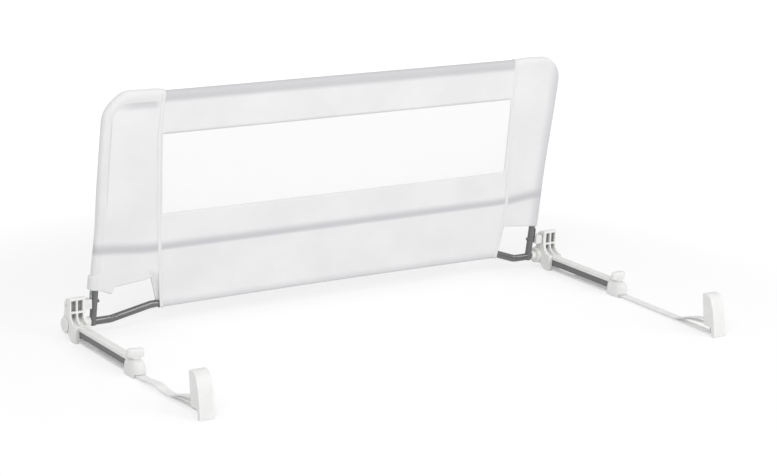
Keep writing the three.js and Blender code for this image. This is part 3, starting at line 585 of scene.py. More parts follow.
def side_cloth():
    make = Maker("side_cloth")
    flat, color = cloth_base(make)
    # Painted shade, partly dark tube that shows through: a band along the crossbar, the deep fold below the top
    # tube, the thin line beside the left upright and the rounded edges over the uprights.
    return cloth_finish(make, flat, color, (
        (bar_shadow(make, flat, *BAR_SOFT_SIDE), BAR_SHARE_SIDE),
        (crease_shadow(make, flat), CREASE_SHADE_SHARE),
        (left_fold_shade(make, flat), FOLD_SHADE_SHARE),
        (tube_band_and_edge_shade(make, flat), 1.0),
    ))


def binding_cloth():
    """Folded tape with two rows of stitches."""
    make = Maker("binding_cloth")
    flat = make.flat()
    along = make.part(flat, "Y")
    across = make.math("ABSOLUTE", make.part(flat, "X"))
    row = make.fade(make.math("ABSOLUTE", make.math("SUBTRACT", across, STITCH_ROW)), *STITCH_EDGE)
    thread = make.product(row, make.ramp(make.waves(along, STITCH_PITCH), *STITCH_BAND))
    dent = make.math("SUBTRACT", thread, make.product(row, STITCH_DENT))
    color = make.mix(make.product(row, STITCH_SHARE), TAPE_WHITE, HEM_WHITE)
    normal = make.bump(dent, *STITCH_BUMP, make.bump(make.waves(along, TAPE_RIB_PITCH), *TAPE_RIB_BUMP))
    make.set(Sheen_Weight=0.1, Specular_IOR_Level=0.25)
    return make.finish(color, 0.8, normal)


def netting():
    """Fine knitted mesh: rounded cells in offset rows."""
    make = Maker("netting")
    cells = make.weave(make.flat(), NET_PITCH)
    hole = make.ramp(make.math("ABSOLUTE", cells), *NET_HOLE_BAND)
    color = make.mix(make.product(hole, NET_HOLE_SHARE), NET_WHITE, NET_HOLE)
    make.set(Specular_IOR_Level=0.2)
    return make.finish(color, 0.8, make.bump(hole, *NET_BUMP))


def webbing():
    """Woven strap: diagonal ribs with firmer edges."""
    make = Maker("webbing")
    run = make.flat()
    along = make.part(run, "Y")
    across = make.part(run, "X")
    place_in_vee = make.math("FRACT", make.product(across, 1 / VEE_WIDTH))
    vee = make.product(make.math("ABSOLUTE", make.math("SUBTRACT", place_in_vee, 0.5)), VEE_WIDTH)
    ribs = make.waves(make.math("ADD", along, vee), STRAP_RIB_PITCH)
    height = make.math("ADD", ribs, make.product(make.waves(across, CORD_PITCH), CORD_SHARE))
    soil = make.noise(make.coordinates(), SOIL_CELLS, 3.0)
    color = make.mix(make.ramp(soil, *SOIL_BAND), STRAP_SOILED, STRAP_WHITE)
    # Painted shade in the grooves between the ribs.
    color = make.mix(make.product(make.fade(height, *GROOVE_BAND), GROOVE_SHADE_SHARE), color, STRAP_GROOVE_SHADE)
    make.set(Sheen_Weight=0.1, Specular_IOR_Level=0.3)
    # Painted light: a faint glow that lifts the shade between the strap's layers and under the arm.
    make.set(Emission_Color=(1, 1, 1, 1), Emission_Strength=STRAP_PAINTED_GLOW)
    return make.finish(color, 0.75, make.bump(height, *STRAP_BUMP))


def plastic_base(make, where, color, shade):
    """Fine spark-eroded texture with faint flow marks, as tone, roughness and relief."""
    grain = make.noise(where, GRAIN_CELLS, 2.0, 0.6)
    flow = make.noise(where, FLOW_CELLS, 2.0)
    tone = make.mix(make.ramp(flow, *FLOW_BAND), shade, color)
    make.set(Specular_IOR_Level=0.4, **TRANSLUCENT)
    return tone, make.ramp(grain, *MIDDLE_BAND, *GRAIN_ROUGH), make.bump(grain, *GRAIN_BUMP)


def moulded(name, color, shade):
    make = Maker(name)
    return make.finish(*plastic_base(make, make.coordinates(), color, shade))


def bracket_plastic_with_pocket_shade():
    """The moulding of the brackets, with painted shade deep in their pockets."""
    make = Maker("moulded_bracket_pocket_shade")
    where = make.coordinates()
    tone, rough, relief = plastic_base(make, where, PLASTIC_WHITE, PLASTIC_SHADE)
    across = make.math("SUBTRACT", make.math("ABSOLUTE", make.part(where, "X")), frame_arm_x("left") * MM)
    y = make.math("SUBTRACT", make.part(where, "Y"), pivot.y)
    z = make.part(where, "Z")
    # Painted shade: darker deep inside the pockets.
    share = make.product(
        make.fade(make.math("ABSOLUTE", across), *POCKET_SIDE),
        make.ramp(y, *POCKET_BACK),
        make.fade(y, *POCKET_FRONT),
        make.ramp(z, *POCKET_FOOT),
        make.fade(z, *POCKET_TOP),
        POCKET_SHADE_SHARE,
    )
    return make.finish(make.mix(share, tone, POCKET_PAINTED_SHADE), rough, relief)


def powder_coat(name, dark, light, rough, shine, coat):
    """Dark grey powder coat with orange peel and faintly lighter high spots."""
    make = Maker(name)
    where = make.coordinates()
    peel = make.noise(where, PEEL_CELLS, 2.0, 0.5)
    wear = make.noise(where, WEAR_CELLS, 4.0, 0.65)
    tone = make.mix(make.ramp(wear, *WEAR_BAND), dark, light)
    make.set(Specular_IOR_Level=shine, Coat_Weight=coat, Coat_Roughness=0.06)
    return make.finish(tone, make.ramp(wear, *MIDDLE_BAND, *rough), make.bump(peel, *PEEL_BUMP))


def zinc_steel():
    make = Maker("zinc_steel")
    where = make.coordinates()
    brush = make.noise(make.scaled(where, BRUSH_CELLS), 1.0, 2.0)
    tone = make.mix(make.noise(where, SPANGLE_CELLS, 1.0), ZINC_DARK, ZINC_LIGHT)
    make.set(Metallic=1.0)
    return make.finish(tone, make.ramp(brush, *MIDDLE_BAND, *BRUSH_ROUGH), make.bump(brush, *BRUSH_BUMP))


materials = {
    "centre": centre_cloth(),
    "side": side_cloth(),
    "binding": binding_cloth(),
    "netting": netting(),
    "webbing": webbing(),
    "bracket": bracket_plastic_with_pocket_shade(),
    "plastic": moulded("moulded_white", PLASTIC_WHITE, PLASTIC_SHADE),
    "anchor": moulded("moulded_warm_white", ANCHOR_WHITE, ANCHOR_SHADE),
    "tube": powder_coat("powder_coat", **MATT_COAT),
    "glossy_tube": powder_coat("powder_coat_glossy", **GLOSSY_COAT),
    "steel": zinc_steel(),
}


# Mesh helpers

def new_object(name, data):
    item = bpy.data.objects.new(name, data)
    bpy.context.scene.collection.objects.link(item)
    return item


def add_object(name, mesh, body, material):
    piece = new_object(name, mesh)
    mesh.materials.append(material)
    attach(piece, body)
    return piece


def mesh_of(name, points, faces, flats=None, smooth_angle=SHARP_ANGLE):
    mesh = bpy.data.meshes.new(name)
    mesh.from_pydata([tuple(p) for p in points], [], faces)
    if flats:
        layer = mesh.uv_layers.new(name="flat")
        for loop in mesh.loops:
            layer.data[loop.index].uv = flats[loop.vertex_index]
    mesh.validate()
    mesh.shade_smooth()
    mesh.set_sharp_from_angle(angle=math.radians(smooth_angle))
    return mesh


def mesh_outward(mesh):
    work = bmesh.new()
    work.from_mesh(mesh)
    bmesh.ops.recalc_face_normals(work, faces=work.faces)
    work.to_mesh(mesh)
    work.free()


def sweep_faces(rings, sides, looped=False):
    """Faces of a sweep whose rings have the same number of points: a loop, or a run with closed ends."""
    faces = []
    for k in range(rings if looped else rings - 1):
        here = k * sides
        after = (k + 1) % rings * sides
        for a in range(sides):
            b = (a + 1) % sides
            faces.append([here + a, here + b, after + b, after + a])
    if not looped:
        faces.append(list(range(sides))[::-1])
        faces.append([(rings - 1) * sides + a for a in range(sides)])
    return faces


def heading(run, k):
    return (run[min(k + 1, len(run) - 1)] - run[max(k - 1, 0)]).normalized()


def resampled(run, step_at):
    """The same run with points no further apart than the step, which may depend on the place."""
    fine = [run[0]]
    for a, b in zip(run, run[1:]):
        count = max(1, math.ceil((b - a).length / step_at(a, b)))
        fine += [a.lerp(b, k / count) for k in range(1, count + 1)]
    return fine


def solidified(piece, thickness):
    """Gives a cloth skin its thickness, inwards from its outer face."""
    modifier = piece.modifiers.new("thickness", "SOLIDIFY")
    modifier.thickness = thickness * MM
    modifier.offset = -1
    return piece


def bent_run(corners, bends):
    """Straight runs joined by arcs, as (y, z) points."""
    run = [Vector(corners[0])]
    for i in range(1, len(corners) - 1):
        before = (Vector(corners[i]) - Vector(corners[i - 1])).normalized()
        after = (Vector(corners[i + 1]) - Vector(corners[i])).normalized()
        turn = before.angle(after)
        bend = bends[i - 1]
        start = Vector(corners[i]) - before * bend * math.tan(turn / 2)
        inward = (after - before * after.dot(before)).normalized()
        for k in range(BEND_STEPS + 1):
            angle = turn * k / BEND_STEPS
            run.append(start + before * bend * math.sin(angle) + inward * bend * (1 - math.cos(angle)))
    run.append(Vector(corners[-1]))
    return run


# Cover: each panel is a grid over the front, which turns round the tubes to the back

def edge_distances(reach, step):
    """Distances from a soft edge inwards: close together round the tube, then even."""
    rows = [SLEEVE_HALF * (1 - math.cos(math.pi / 2 * k / EDGE_STEPS)) for k in range(EDGE_STEPS + 1)]
    count = max(1, round((reach - SLEEVE_HALF) / step))
    rows += [SLEEVE_HALF + (reach - SLEEVE_HALF) * k / count for k in range(1, count + 1)]
    return rows


def evenly(a, b, step):
    count = max(1, round(abs(b - a) / step))
    return [a + (b - a) * k / count for k in range(count + 1)]


def rounded_corner(x, s):
    """Moves a point of the square outline onto the frame's round top corner."""
    over = abs(x) - (HALF_WIDTH - CORNER)
    up = s - (HEIGHT - CORNER)
    if over <= 0 or up <= 0:
        return x, s
    share = max(over, up) / math.hypot(over, up)
    side = 1 if x > 0 else -1
    return side * (HALF_WIDTH - CORNER + over * share), HEIGHT - CORNER + up * share


def bar_height_at(x):
    return BAR_HEIGHT + BAR_RISE * smooth(BAR_RISE_START, BAR_RISE_END, abs(x))


def dip(distance, start, run, depth):
    """How far the cloth sinks at a distance from an outer edge with a tube in it."""
    into = smooth(start, start + run, distance)
    tail = math.exp(-max(0.0, distance - start - run) / SINK_FADE)
    return into * (REST_SINK + (depth - REST_SINK) * tail)


def ripple(x, s, layer):
    """Small hand-made unevenness of stretched cloth, in millimetres."""
    broad_x, broad_s, broad_height, broad_place = BROAD_RIPPLE
    tight_x, tight_s, tight_height, tight_place = TIGHT_RIPPLE
    broad = noise.noise(Vector((x / broad_x, s / broad_s, broad_place * layer)))
    tight = noise.noise(Vector((x / tight_x, s / tight_s, tight_place + layer)))
    return broad_height * broad + tight_height * tight


def edge_dip(side_edge, top_edge, top, side):
    """Sinking beside the tubes of the top and the side, each given as start, run and depth."""
    if side_edge < CORNER and top_edge < CORNER:
        return dip(CORNER - min(CORNER, math.hypot(CORNER - side_edge, CORNER - top_edge)), *top)
    return dip(top_edge, *top) if top_edge < side_edge else dip(side_edge, *side)


def panel_dip(x, s, side_edge, top_edge):
    """A firm crease in the left panel, which fades towards its seam, and softer ones in the others."""
    soft = edge_dip(side_edge, top_edge, TOP_DIP, RIGHT_DIP)
    firmness = smooth(SEAM_SOFT, SEAM_FIRM, seam_x(-1, s) - x)
    if firmness == 0:
        return soft
    start, run, depth = LEFT_SIDE_DIP
    depth = REST_SINK + (depth - REST_SINK) * smooth(LEFT_CREASE_LOW, LEFT_CREASE_HIGH, s)
    firm = edge_dip(side_edge, top_edge, LEFT_TOP_DIP, (start, run, depth))
    return soft + (firm - soft) * firmness


def sink(x, s, layer):
    """How far the cloth lies inside the sleeve's flat face."""
    side_edge = HALF_WIDTH - abs(x)
    top_edge = HEIGHT - s
    inward = panel_dip(x, s, side_edge, top_edge)
    near_bar = 1 - math.exp(-((s - bar_height_at(x)) / BAR_CONTACT) ** 2)
    near_foot = smooth(COVER_BOTTOM + FOOT_CONTACT[0], COVER_BOTTOM + FOOT_CONTACT[1], s)
    near_edge = smooth(*EDGE_CONTACT, min(side_edge, top_edge))
    return max(-MOST_PROUD, (inward + ripple(x, s, layer) * near_edge) * near_bar * near_foot)


def thickness_at(distance):
    if distance >= SLEEVE_HALF:
        return SLEEVE_HALF
    return math.sqrt(max(0.0, SLEEVE_HALF ** 2 - (SLEEVE_HALF - distance) ** 2))


def hem_sag(x):
    return HEM_SAG * (x / HEM_SPAN) ** 2 - HEM_LIFT


def settled(x, s):
    """Where the sewn cover really lies, for a point of its straight outline."""
    side = 1 if x > 0 else -1
    depth, middle, reach = SIDE_DRAW[side]
    near_side = smooth(DRAW_FADE, SLEEVE_HALF, HALF_WIDTH - abs(x))
    draw = depth * math.exp(-((s - middle) / reach) ** 2) * near_side
    sag = hem_sag(x) * smooth(COVER_BOTTOM + HEM_FADE, COVER_BOTTOM, s)
    return x - side * draw, s - sag


def top_rise(side, x):
    """How far the loose top of a side panel stands above its straight edge."""
    for (xa, rise_a), (xb, rise_b) in zip(TOP_RISES[side], TOP_RISES[side][1:]):
        if x <= xb:
            return rise_a + (rise_b - rise_a) * smooth(xa, xb, x)
    return 0


def risen(side, x, s):
    return s + top_rise(side, x) * smooth(HEIGHT - RISE_FADE, HEIGHT - SLEEVE_HALF, s)


def right_finish(x, s, half):
    return x, risen(1, x, s), half


def left_finish(x, s, half):
    """The left panel's own shape: its cuff, its raised top and the closed mouth beside the cut-out."""
    cuff = smooth(CUFF_TOP + CUFF_STEP, CUFF_TOP, s) * smooth(CUFF_INNER, CUFF_OUTER, x)
    mouth = smooth(MOUTH_REACH, 0, abs(x - line_x(MOUTH_EDGE, s)))
    mouth *= smooth(MOUTH_TOP + MOUTH_FADE, MOUTH_TOP, s)
    if half > 0:
        half += (MOUTH_HALF - half) * mouth + CUFF_STAND * cuff
    return x - CUFF_FLARE * cuff + MOUTH_SHIFT * mouth, risen(-1, x, s), half


def panel_mesh(name, columns, rows_at, warp, closed_side=False, round_foot=False, hole=None, finish=None):
    """A skin over front and back. rows_at(x) lists the heights of one column from the foot to the top."""
    points = []
    flats = []
    index = {}

    def corner_point(i, j, layer):
        x = columns[i]
        s = rows_at(x)[j]
        distance = HEIGHT - s
        if closed_side:
            distance = min(distance, HALF_WIDTH - abs(x))
        if round_foot:
            distance = min(distance, s - COVER_BOTTOM)
        rim = distance < 1e-6
        key = (i, j, 0 if rim else layer)
        if key not in index:
            px, ps = rounded_corner(warp(x, s), s)
            half = thickness_at(distance)
            if distance >= SLEEVE_HALF - 1e-6:
                half -= sink(px, ps, layer)
            flats.append((px * MM, ps * MM))
            px, ps = settled(px, ps)
            if finish:
                px, ps, half = finish(px, ps, 0 if rim else half)
            index[key] = len(points)
            points.append(place(px, ps, layer * half))
        return index[key]

    faces = []
    count = len(rows_at(columns[0]))
    for layer in (-1, 1):
        for i in range(len(columns) - 1):
            for j in range(count - 1):
                if hole and in_hole(columns, rows_at, i, j, hole):
                    continue
                ring = [
                    corner_point(i, j, layer),
                    corner_point(i + 1, j, layer),
                    corner_point(i + 1, j + 1, layer),
                    corner_point(i, j + 1, layer),
                ]
                ring = list(dict.fromkeys(ring))
                if len(ring) > 2:
                    faces.append(ring if layer < 0 else ring[::-1])
    return mesh_of(name, points, faces, flats)


def in_hole(columns, rows_at, i, j, hole):
    x = (columns[i] + columns[i + 1]) / 2
    rows = rows_at(columns[i])
    s = (rows[j] + rows[j + 1]) / 2
    left, right, low, high = hole
    return left < x < right and low < s < high


def side_warp(side):
    """Moves the columns of a side panel along the rail, so that the last one follows the seam."""
    edge = side * HALF_WIDTH
    foot = seam_x(side, COVER_BOTTOM)

    def warp(x, s):
        share = (x - edge) / (foot - edge)
        return x + (seam_x(side, s) + side * SEAM_GAP - foot) * share * share

    return warp


def centre_knots(s):
    """x of the two seams and of the window's two sides at one height."""
    left = seam_x(-1, s) + SEAM_GAP
    right = seam_x(1, s) - SEAM_GAP
    share = (s - WINDOW_BOTTOM) / (WINDOW_TOP - WINDOW_BOTTOM)
    window_left = WINDOW_LEFT[1] + (WINDOW_LEFT[0] - WINDOW_LEFT[1]) * share
    window_right = WINDOW_RIGHT[1] + (WINDOW_RIGHT[0] - WINDOW_RIGHT[1]) * share
    window_left = max(window_left, left + WINDOW_LEFT_MARGIN)
    return left, window_left, min(window_right, right - WINDOW_RIGHT_MARGIN), right


def centre_warp(x, s):
    knots = centre_knots(s)
    for k, (a, b) in enumerate(zip(CENTRE_KNOTS, CENTRE_KNOTS[1:])):
        if x <= b or k == len(CENTRE_KNOTS) - 2:
            share = (x - a) / (b - a)
            return knots[k] + (knots[k + 1] - knots[k]) * share


def foot_at(x, corners):
    """Height of a side panel's lower edge at x."""
    for (xa, sa), (xb, sb) in zip(corners, corners[1:]):
        if min(xa, xb) - 1e-6 <= x <= max(xa, xb) + 1e-6:
            return sa + (sb - sa) * (x - xa) / (xb - xa)
    return corners[-1][1]


def side_panel(name, side, corners):
    edge = side * HALF_WIDTH
    seam = seam_x(side, COVER_BOTTOM)
    reach = abs(edge - seam)
    columns = [edge - side * d for d in edge_distances(reach, GRID)]
    knots = [x for x, _ in corners[1:-1]]
    columns = sorted(set(columns) | set(knots))
    upper = [HEIGHT - d for d in edge_distances(HEIGHT - FOOT_BLEND, GRID)][::-1]

    def rows_at(x):
        low = foot_at(x, corners)
        foot = [low + (FOOT_BLEND - low) * k / FOOT_ROWS for k in range(FOOT_ROWS)]
        return foot + upper

    finish = left_finish if side < 0 else right_finish
    cloth = f"{name}_panel_cloth"
    mesh = panel_mesh(cloth, columns, rows_at, side_warp(side), closed_side=True, finish=finish)
    piece = add_object(cloth, mesh, "rail", materials["side"])
    solidified(piece, CLOTH)
    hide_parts(f"cover_{name}_panel")
    width = abs(edge - seam_x(side, (WINDOW_TOP + WINDOW_BOTTOM) / 2))
    return piece


def centre_panel():
    columns = list(CENTRE_KNOTS[:1])
    for a, b in zip(CENTRE_KNOTS, CENTRE_KNOTS[1:]):
        columns += evenly(a, b, GRID)[1:]
    lower = [COVER_BOTTOM + d for d in edge_distances(WINDOW_BOTTOM - COVER_BOTTOM, GRID)]
    upper = [HEIGHT - d for d in edge_distances(HEIGHT - WINDOW_TOP, GRID)][::-1]
    rows = lower + evenly(WINDOW_BOTTOM, WINDOW_TOP, GRID)[1:] + upper[1:]
    hole = (CENTRE_KNOTS[1], CENTRE_KNOTS[2], WINDOW_BOTTOM, WINDOW_TOP)
    mesh = panel_mesh("centre_panel_cloth", columns, lambda x: rows, centre_warp, round_foot=True, hole=hole)
    piece = add_object("centre_panel_cloth", mesh, "rail", materials["centre"])
    solidified(piece, CLOTH)
    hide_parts("cover_centre_panel")
    return piece


def window_net(name, layer):
    """A net that is sewn behind the edge of the window."""
    lap = 4
    columns = evenly(0, 1, GRID / (CENTRE_KNOTS[2] - CENTRE_KNOTS[1]))
    rows = evenly(WINDOW_BOTTOM - lap, WINDOW_TOP + lap, GRID)
    points = []
    flats = []
    for share in columns:
        for s in rows:
            _, left, right, _ = centre_knots(s)
            x = left - NET_TUCK + (right - left + lap + NET_TUCK) * share
            inside = min(x - left, right - x, s - WINDOW_BOTTOM, WINDOW_TOP - s)
            behind = CLOTH * (1 - NET_RISE_SHARE * smooth(*NET_RISE, inside))
            half = SLEEVE_HALF - sink(x, s, layer) - behind - NET_CLEAR
            points.append(place(x, s, layer * half))
            flats.append((x * MM, s * MM))
    count = len(rows)
    faces = []
    for i in range(len(columns) - 1):
        for j in range(count - 1):
            ring = [i * count + j, (i + 1) * count + j, (i + 1) * count + j + 1, i * count + j + 1]
            faces.append(ring if layer < 0 else ring[::-1])
    piece = add_object(name, mesh_of(name, points, faces, flats), "rail", materials["netting"])
    solidified(piece, NET_THICK)
    return piece


TAPE_SECTION = ((-0.5, 0.0), (-0.47, 0.75), (-0.32, 1.0), (0.32, 1.0), (0.47, 0.75), (0.5, 0.0))


def tape_loop(side):
    """Round the sleeve along a seam: (x, s, y) of the cloth, then the way out of it in s and in y."""
    low = COVER_BOTTOM + SLEEVE_HALF - hem_sag(seam_x(side, COVER_BOTTOM))
    high = HEIGHT - SLEEVE_HALF + top_rise(side, seam_x(side, HEIGHT)) / 2
    steps = 2 * EDGE_STEPS
    turns = [math.pi * k / steps for k in range(steps + 1)]

    def tape_x(s):
        return seam_x(side, s) + TAPE_SHIFT[side]

    def flat_part(s, layer):
        return tape_x(s), s, layer * (SLEEVE_HALF - sink(tape_x(s), s, layer)), 0.0, layer

    def round_part(x, s, up, out):
        return x, s + SLEEVE_HALF * up, SLEEVE_HALF * out, up, out

    loop = [flat_part(s, -1) for s in evenly(low, high, GRID)[:-1]]
    loop += [round_part(tape_x(HEIGHT), high, math.sin(t), -math.cos(t)) for t in turns]
    loop += [flat_part(s, 1) for s in evenly(high, low, GRID)[1:-1]]
    loop += [round_part(tape_x(COVER_BOTTOM), low, -math.sin(t), math.cos(t)) for t in turns[:-1]]
    return loop


def tape_mesh(name, side):
    points = []
    flats = []
    run = 0.0
    loop = tape_loop(side)
    for k, (x, s, y, up, out) in enumerate(loop):
        if k:
            run += math.hypot(s - loop[k - 1][1], y - loop[k - 1][2])
        for share, lift in TAPE_SECTION:
            raised = TAPE_CLEAR + TAPE_PROUD * lift
            points.append(place(x + share * TAPE_WIDTH, s + up * raised, y + out * raised))
            flats.append((share * TAPE_WIDTH * MM, run * MM))
    faces = sweep_faces(len(loop), len(TAPE_SECTION), looped=True)
    return mesh_of(name, points, faces, flats, TAPE_ANGLE)


def build_cover():
    side_panel("left", -1, LEFT_FOOT)
    side_panel("right", 1, RIGHT_FOOT)
    centre = centre_panel()
    for name, side in SIDES:
        tape = add_object(f"{name}_seam_tape", tape_mesh(f"{name}_seam_tape", side), "rail",
                          materials["binding"])
        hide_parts(f"{name}_seam_binding")
    for name, layer in (("window_front", -1), ("window_back", 1)):
        net = window_net(f"{name}_net", layer)
        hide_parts(name)


# Bottom tube: round inside the cover, flattened and crimped where it bends towards the uprights

def bottom_run():
    """Its centre line, with points close together where it is flattened."""
    def step_at(a, b):
        return FINE_STEP if max(abs(a.x), abs(b.x)) > FINE_START else COARSE_STEP

    bends = [BOTTOM_BEND] * (len(BOTTOM_CORNERS) - 2)
    return resampled(bent_run(BOTTOM_CORNERS, bends), step_at)


def bottom_ring(here, ahead):
    """One section of the tube, as points round its centre."""
    flat = smooth(FLAT_START, FLAT_END, abs(here.x))
    half_height = TUBE_RADIUS + (FLAT_HALF_HEIGHT - TUBE_RADIUS) * flat
    half_depth = TUBE_RADIUS + (FLAT_HALF_DEPTH - TUBE_RADIUS) * flat
    up = Vector((-ahead.y, ahead.x))
    ring = []
    for k in range(BOTTOM_SIDES):
        turn = math.tau * k / BOTTOM_SIDES
        share = 1.0
        for x, reach, depth, facing in CRIMPS:
            near = math.exp(-((here.x - x) / reach) ** 2)
            ridge = 0.5 + 0.5 * math.sin((here.x - x) * RIDGE_WAVE + RIDGE_TWIST * math.cos(turn))
            share -= depth / TUBE_RADIUS * near * ridge * max(0.0, math.cos(turn - facing)) ** RIDGE_FOCUS
        spot = here + up * (half_height * share * math.cos(turn))
        ring.append(place(spot.x, spot.y - FLAT_DROP * flat, -half_depth * share * math.sin(turn)))
    return ring


def build_bottom_tube():
    points = []
    run = bottom_run()
    for k, here in enumerate(run):
        points += bottom_ring(here, heading(run, k))
    mesh = mesh_of("bottom_tube_crimped", points, sweep_faces(len(run), BOTTOM_SIDES))
    mesh_outward(mesh)
    piece = add_object("bottom_tube_crimped", mesh, "rail", materials["glossy_tube"])
    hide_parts("bottom_tube")


# Webbing straps: close to the run of the solids, with firm edges

def strap_routes(reach, shares, lifts, split, foot, hump):
    """The strap's own run and the layer that closes its loop under the bar."""
    lower = STRAP_LIFT + STRAP_THICK / 2
    upper = lower + STRAP_THICK + LAYER_GAP
    bar_y = -reach + BAR_DEPTH
    split_y = -reach + STRAP_SPLIT
    around = BAR_RADIUS + STRAP_SLACK + STRAP_THICK / 2
    riser = bar_y - around
    split_z = upper + split
    hump_y = split_y + HUMP_SHARE * (riser - split_y)
    hump_z = split_z + HUMP_SHARE * (BAR_UP + around - split_z) + hump
    to_bar = Vector((bar_y - hump_y, BAR_UP - hump_z))
    climb = math.atan2(to_bar.y, to_bar.x) - math.asin(around / to_bar.length)
    crest = hump_z + (riser - hump_y) * math.tan(climb)
    start = -ARM_REACH - CAP_FRONT
    wave = [(start + share * (split_y - start), lift) for share, lift in zip(shares, lifts)]
    corners = [(-STRAP_TAIL, lower)] + [(y, lower + lift) for y, lift in wave]
    corners += [(riser, lower + foot), (riser, crest), (hump_y, hump_z), (split_y, split_z)]
    corners += [(y, upper + lift) for y, lift in reversed(wave)] + [(-ARM_REACH + STRAP_UPPER_RUN, upper)]
    bends = [SPLIT_BEND] * len(wave) + [around, around] + [SPLIT_BEND] * (2 + len(wave))
    under = [(split_y, split_z), (hump_y, hump_z - HUMP_SHARE * (2 * around + LOOP_SAG)),
             (riser, BAR_UP - around - LOOP_SAG)]
    return bent_run(corners, bends), bent_run(under, [SPLIT_BEND]), start, bar_y


STRAP_SECTION = (
    (-0.5, 0.0), (-0.485, 0.36), (-0.44, 0.5), (-0.38, 0.42), (0.38, 0.42), (0.44, 0.5), (0.485, 0.36),
    (0.5, 0.0), (0.485, -0.36), (0.44, -0.5), (0.38, -0.42), (-0.38, -0.42), (-0.44, -0.5), (-0.485, -0.36),
)


def strap_layer(run, arm_x, drift_at):
    """Points, flat places and faces of one layer of webbing along a run of (y, z) points."""
    points = []
    flats = []
    length = 0.0
    for k, here in enumerate(run):
        ahead = heading(run, k)
        up = Vector((ahead.y, -ahead.x))
        if k:
            length += (here - run[k - 1]).length
        for share, lift in STRAP_SECTION:
            spot = here + up * (lift * STRAP_THICK)
            points.append(Vector((
                (arm_x + drift_at(here.x) + share * STRAP_WIDTH) * MM,
                pivot.y + spot.x * MM,
                spot.y * MM,
            )))
            flats.append((share * STRAP_WIDTH * MM, length * MM))
    return points, flats, sweep_faces(len(run), len(STRAP_SECTION))


def strap_piece(name, side):
    main, under, start, bar_y = strap_routes(**STRAPS[name])

    def drift_at(y):
        return STRAP_DRIFTS[name] * max(0.0, (start - y) / (start - bar_y))

    points = []
    flats = []
    faces = []
    for run in (main, under):
        run = resampled(run, lambda a, b: STRAP_STEP)
        more_points, more_flats, more_faces = strap_layer(run, side * frame_arm_x(name), drift_at)
        faces += [[v + len(points) for v in face] for face in more_faces]
        points += more_points
        flats += more_flats
    mesh = mesh_of(f"{name}_webbing_strap", points, faces, flats, STRAP_ANGLE)
    mesh_outward(mesh)
    piece = add_object(f"{name}_webbing_strap", mesh, f"{name}_webbing", materials["webbing"])
    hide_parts(f"{name}_strap")


# Latch springs: round coils in the place of the springs' solids

def coil_mesh(name, start, end, radius, middle):
    """A round wire along a screw line from start to end, in metres."""
    wire = WIRE_RADIUS * MM
    count = SPRING_TURNS * TURN_STEPS
    points = []
    for k in range(count + 1):
        turn = math.tau * k / TURN_STEPS
        out = Vector((0, math.cos(turn), math.sin(turn)))
        here = Vector((start + wire + (end - start - 2 * wire) * k / count, *middle)) + out * (radius - wire)
        for a in range(WIRE_SIDES):
            angle = math.tau * a / WIRE_SIDES
            points.append(here + (out * math.cos(angle) + Vector((math.sin(angle), 0, 0))) * wire)
    mesh = mesh_of(name, points, sweep_faces(count + 1, WIRE_SIDES))
    mesh_outward(mesh)
    return mesh


def spring_piece(name):
    node = f"{name}_latch_spring"
    low, high = (Vector(corner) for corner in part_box(node))
    middle = (low + high) / 2
    mesh = coil_mesh(f"{node}_coil", low.x, high.x, (high.y - low.y) / 2, (middle.y, middle.z))
    piece = add_object(f"{node}_coil", mesh, BODY_OF[node], materials["steel"])
    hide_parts(node)
    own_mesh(piece)


# Moulded pieces: the construction's own shapes with softened edges; metal pieces keep their own shapes and get
# their finish

def softened(node):
    """A copy of a solid with its flat faces made whole."""
    source = frame["nodes"][node]
    mesh = source.data.copy()
    mesh.name = f"{node}_soft"
    work = bmesh.new()
    work.from_mesh(mesh)
    bmesh.ops.remove_doubles(work, verts=work.verts, dist=MERGE_DISTANCE)
    bmesh.ops.dissolve_limit(work, angle_limit=math.radians(FLAT_ANGLE), verts=work.verts, edges=work.edges)
    work.to_mesh(mesh)
    work.free()
    mesh.materials.clear()
    mesh.shade_smooth()
    mesh.set_sharp_from_angle(angle=math.radians(MOULDING_ANGLE))
    return mesh


BODY_OF = {node: body for body, nodes in frame["record"]["behaviour"]["bodies"].items() for node in nodes}
FINISH_OF = {s["node"]: s["material_slot"] for s in frame["record"]["subparts"]}


def soften_pieces():
    for name, _ in SIDES:
        for piece_name, width, look in SOFT_EDGES:
            node = f"{name}_{piece_name}"
            mesh = softened(node)
            piece = add_object(f"{node}_moulding", mesh, BODY_OF[node], materials[look])
            bevel = piece.modifiers.new("edges", "BEVEL")
            bevel.width = width * MM
            bevel.segments = BEVEL_SEGMENTS
            bevel.limit_method = "ANGLE"
            bevel.angle_limit = math.radians(BEVEL_ANGLE)
            bevel.harden_normals = False
            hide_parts(node)


def dress_solids():
    """Every solid that stays gets the finish of its slot."""
    looks = {"tube": "tube", "steel": "steel", "plastic": "plastic", "cloth": "side", "netting": "netting",
             "webbing": "webbing"}
    for node, piece in frame["nodes"].items():
        piece.data.materials.clear()
        piece.data.materials.append(materials[looks[FINISH_OF[node]]])
        piece.data.shade_smooth()
        piece.data.set_sharp_from_angle(angle=math.radians(SOLID_ANGLE))


# Stage, light and camera

def stage_material(name):
    """White to the camera, with a share of real shading near the object so that shadows stay."""
    make = Maker(name)
    make.nodes.remove(make.shader)
    diffuse = make.node("BsdfDiffuse", Color=FLOOR_GREY)
    glow = make.node("Emission", Color=(1, 1, 1, 1), Strength=FLOOR_GLOW)
    away = make.node("VectorMath")
    away.operation = "LENGTH"
    make.put(make.coordinates(), away.inputs[0])
    glowing = make.ramp(away.outputs["Value"], STAGE_NEAR, STAGE_FAR, NEAR_GLOW, 1.0)
    share = make.product(make.node("LightPath").outputs["Is Camera Ray"], glowing)
    make.join(share, diffuse, glow, "Material Output")
    return make.material


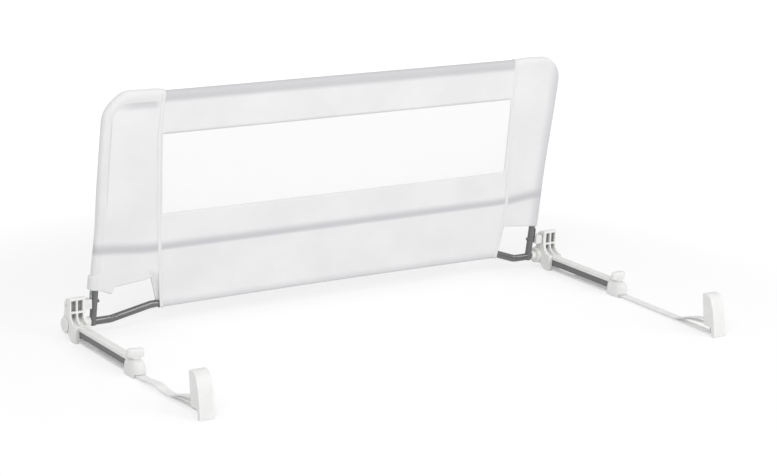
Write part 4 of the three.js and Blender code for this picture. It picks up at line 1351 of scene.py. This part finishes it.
def build_stage():
    points = [(FLOOR_REACH * x, FLOOR_REACH * y, 0) for x, y in ((-1, -1), (1, -1), (1, 1), (-1, 1))]
    mesh = bpy.data.meshes.new("floor")
    mesh.from_pydata(points, [], [(0, 1, 2, 3)])
    mesh.materials.append(stage_material("floor_white"))
    floor = new_object("floor", mesh)
    floor.location.z = -FLOOR_DROP


def build_world():
    world = bpy.data.worlds.new("studio")
    bpy.context.scene.world = world
    make = Maker("studio", world)
    soft = make.nodes["Background"]
    soft.inputs["Color"].default_value = (1, 1, 1, 1)
    soft.inputs["Strength"].default_value = WORLD_SOFT
    bright = make.node("Background", Strength=WORLD_BRIGHT)
    rays = make.node("LightPath").outputs
    seen = make.math("MAXIMUM", rays["Is Camera Ray"], rays["Is Glossy Ray"])
    make.join(seen, soft, bright, "World Output")


def add_softbox(name, spot, aim, size, power):
    light = bpy.data.lights.new(name, "AREA")
    light.shape = "RECTANGLE"
    light.size, light.size_y = size
    light.energy = power
    lamp = new_object(name, light)
    lamp.location = spot
    lamp.rotation_euler = (Vector(aim) - Vector(spot)).to_track_quat("-Z", "Y").to_euler()


def build_lights():
    for softbox in SOFTBOXES:
        add_softbox(*softbox)


def build_camera():
    back = Vector((
        math.sin(AZIMUTH) * math.cos(ELEVATION),
        -math.cos(AZIMUTH) * math.cos(ELEVATION),
        math.sin(ELEVATION),
    ))
    right = (-back).cross(Vector((0, 0, 1))).normalized()
    down = (-back).cross(right)
    turned_right = right * math.cos(ROLL) - down * math.sin(ROLL)
    turned_down = right * math.sin(ROLL) + down * math.cos(ROLL)
    data = bpy.data.cameras.new("camera")
    data.sensor_fit = "HORIZONTAL"
    data.sensor_width = SENSOR
    data.lens = FOCAL_PIXELS * SENSOR / IMAGE_WIDTH
    data.clip_end = CLIP_END
    camera = new_object("camera", data)
    turn = Matrix((turned_right, -turned_down, back)).transposed()
    camera.matrix_world = Matrix.Translation(Vector(CAMERA_TARGET) + back * CAMERA_DISTANCE) @ turn.to_4x4()
    bpy.context.scene.camera = camera


bpy.context.scene.view_settings.view_transform = "Standard"
build_camera()
build_world()
build_lights()
build_stage()
dress_solids()
build_cover()
build_bottom_tube()
for side_name, side_sign in SIDES:
    strap_piece(side_name, side_sign)
    spring_piece(side_name)
soften_pieces()
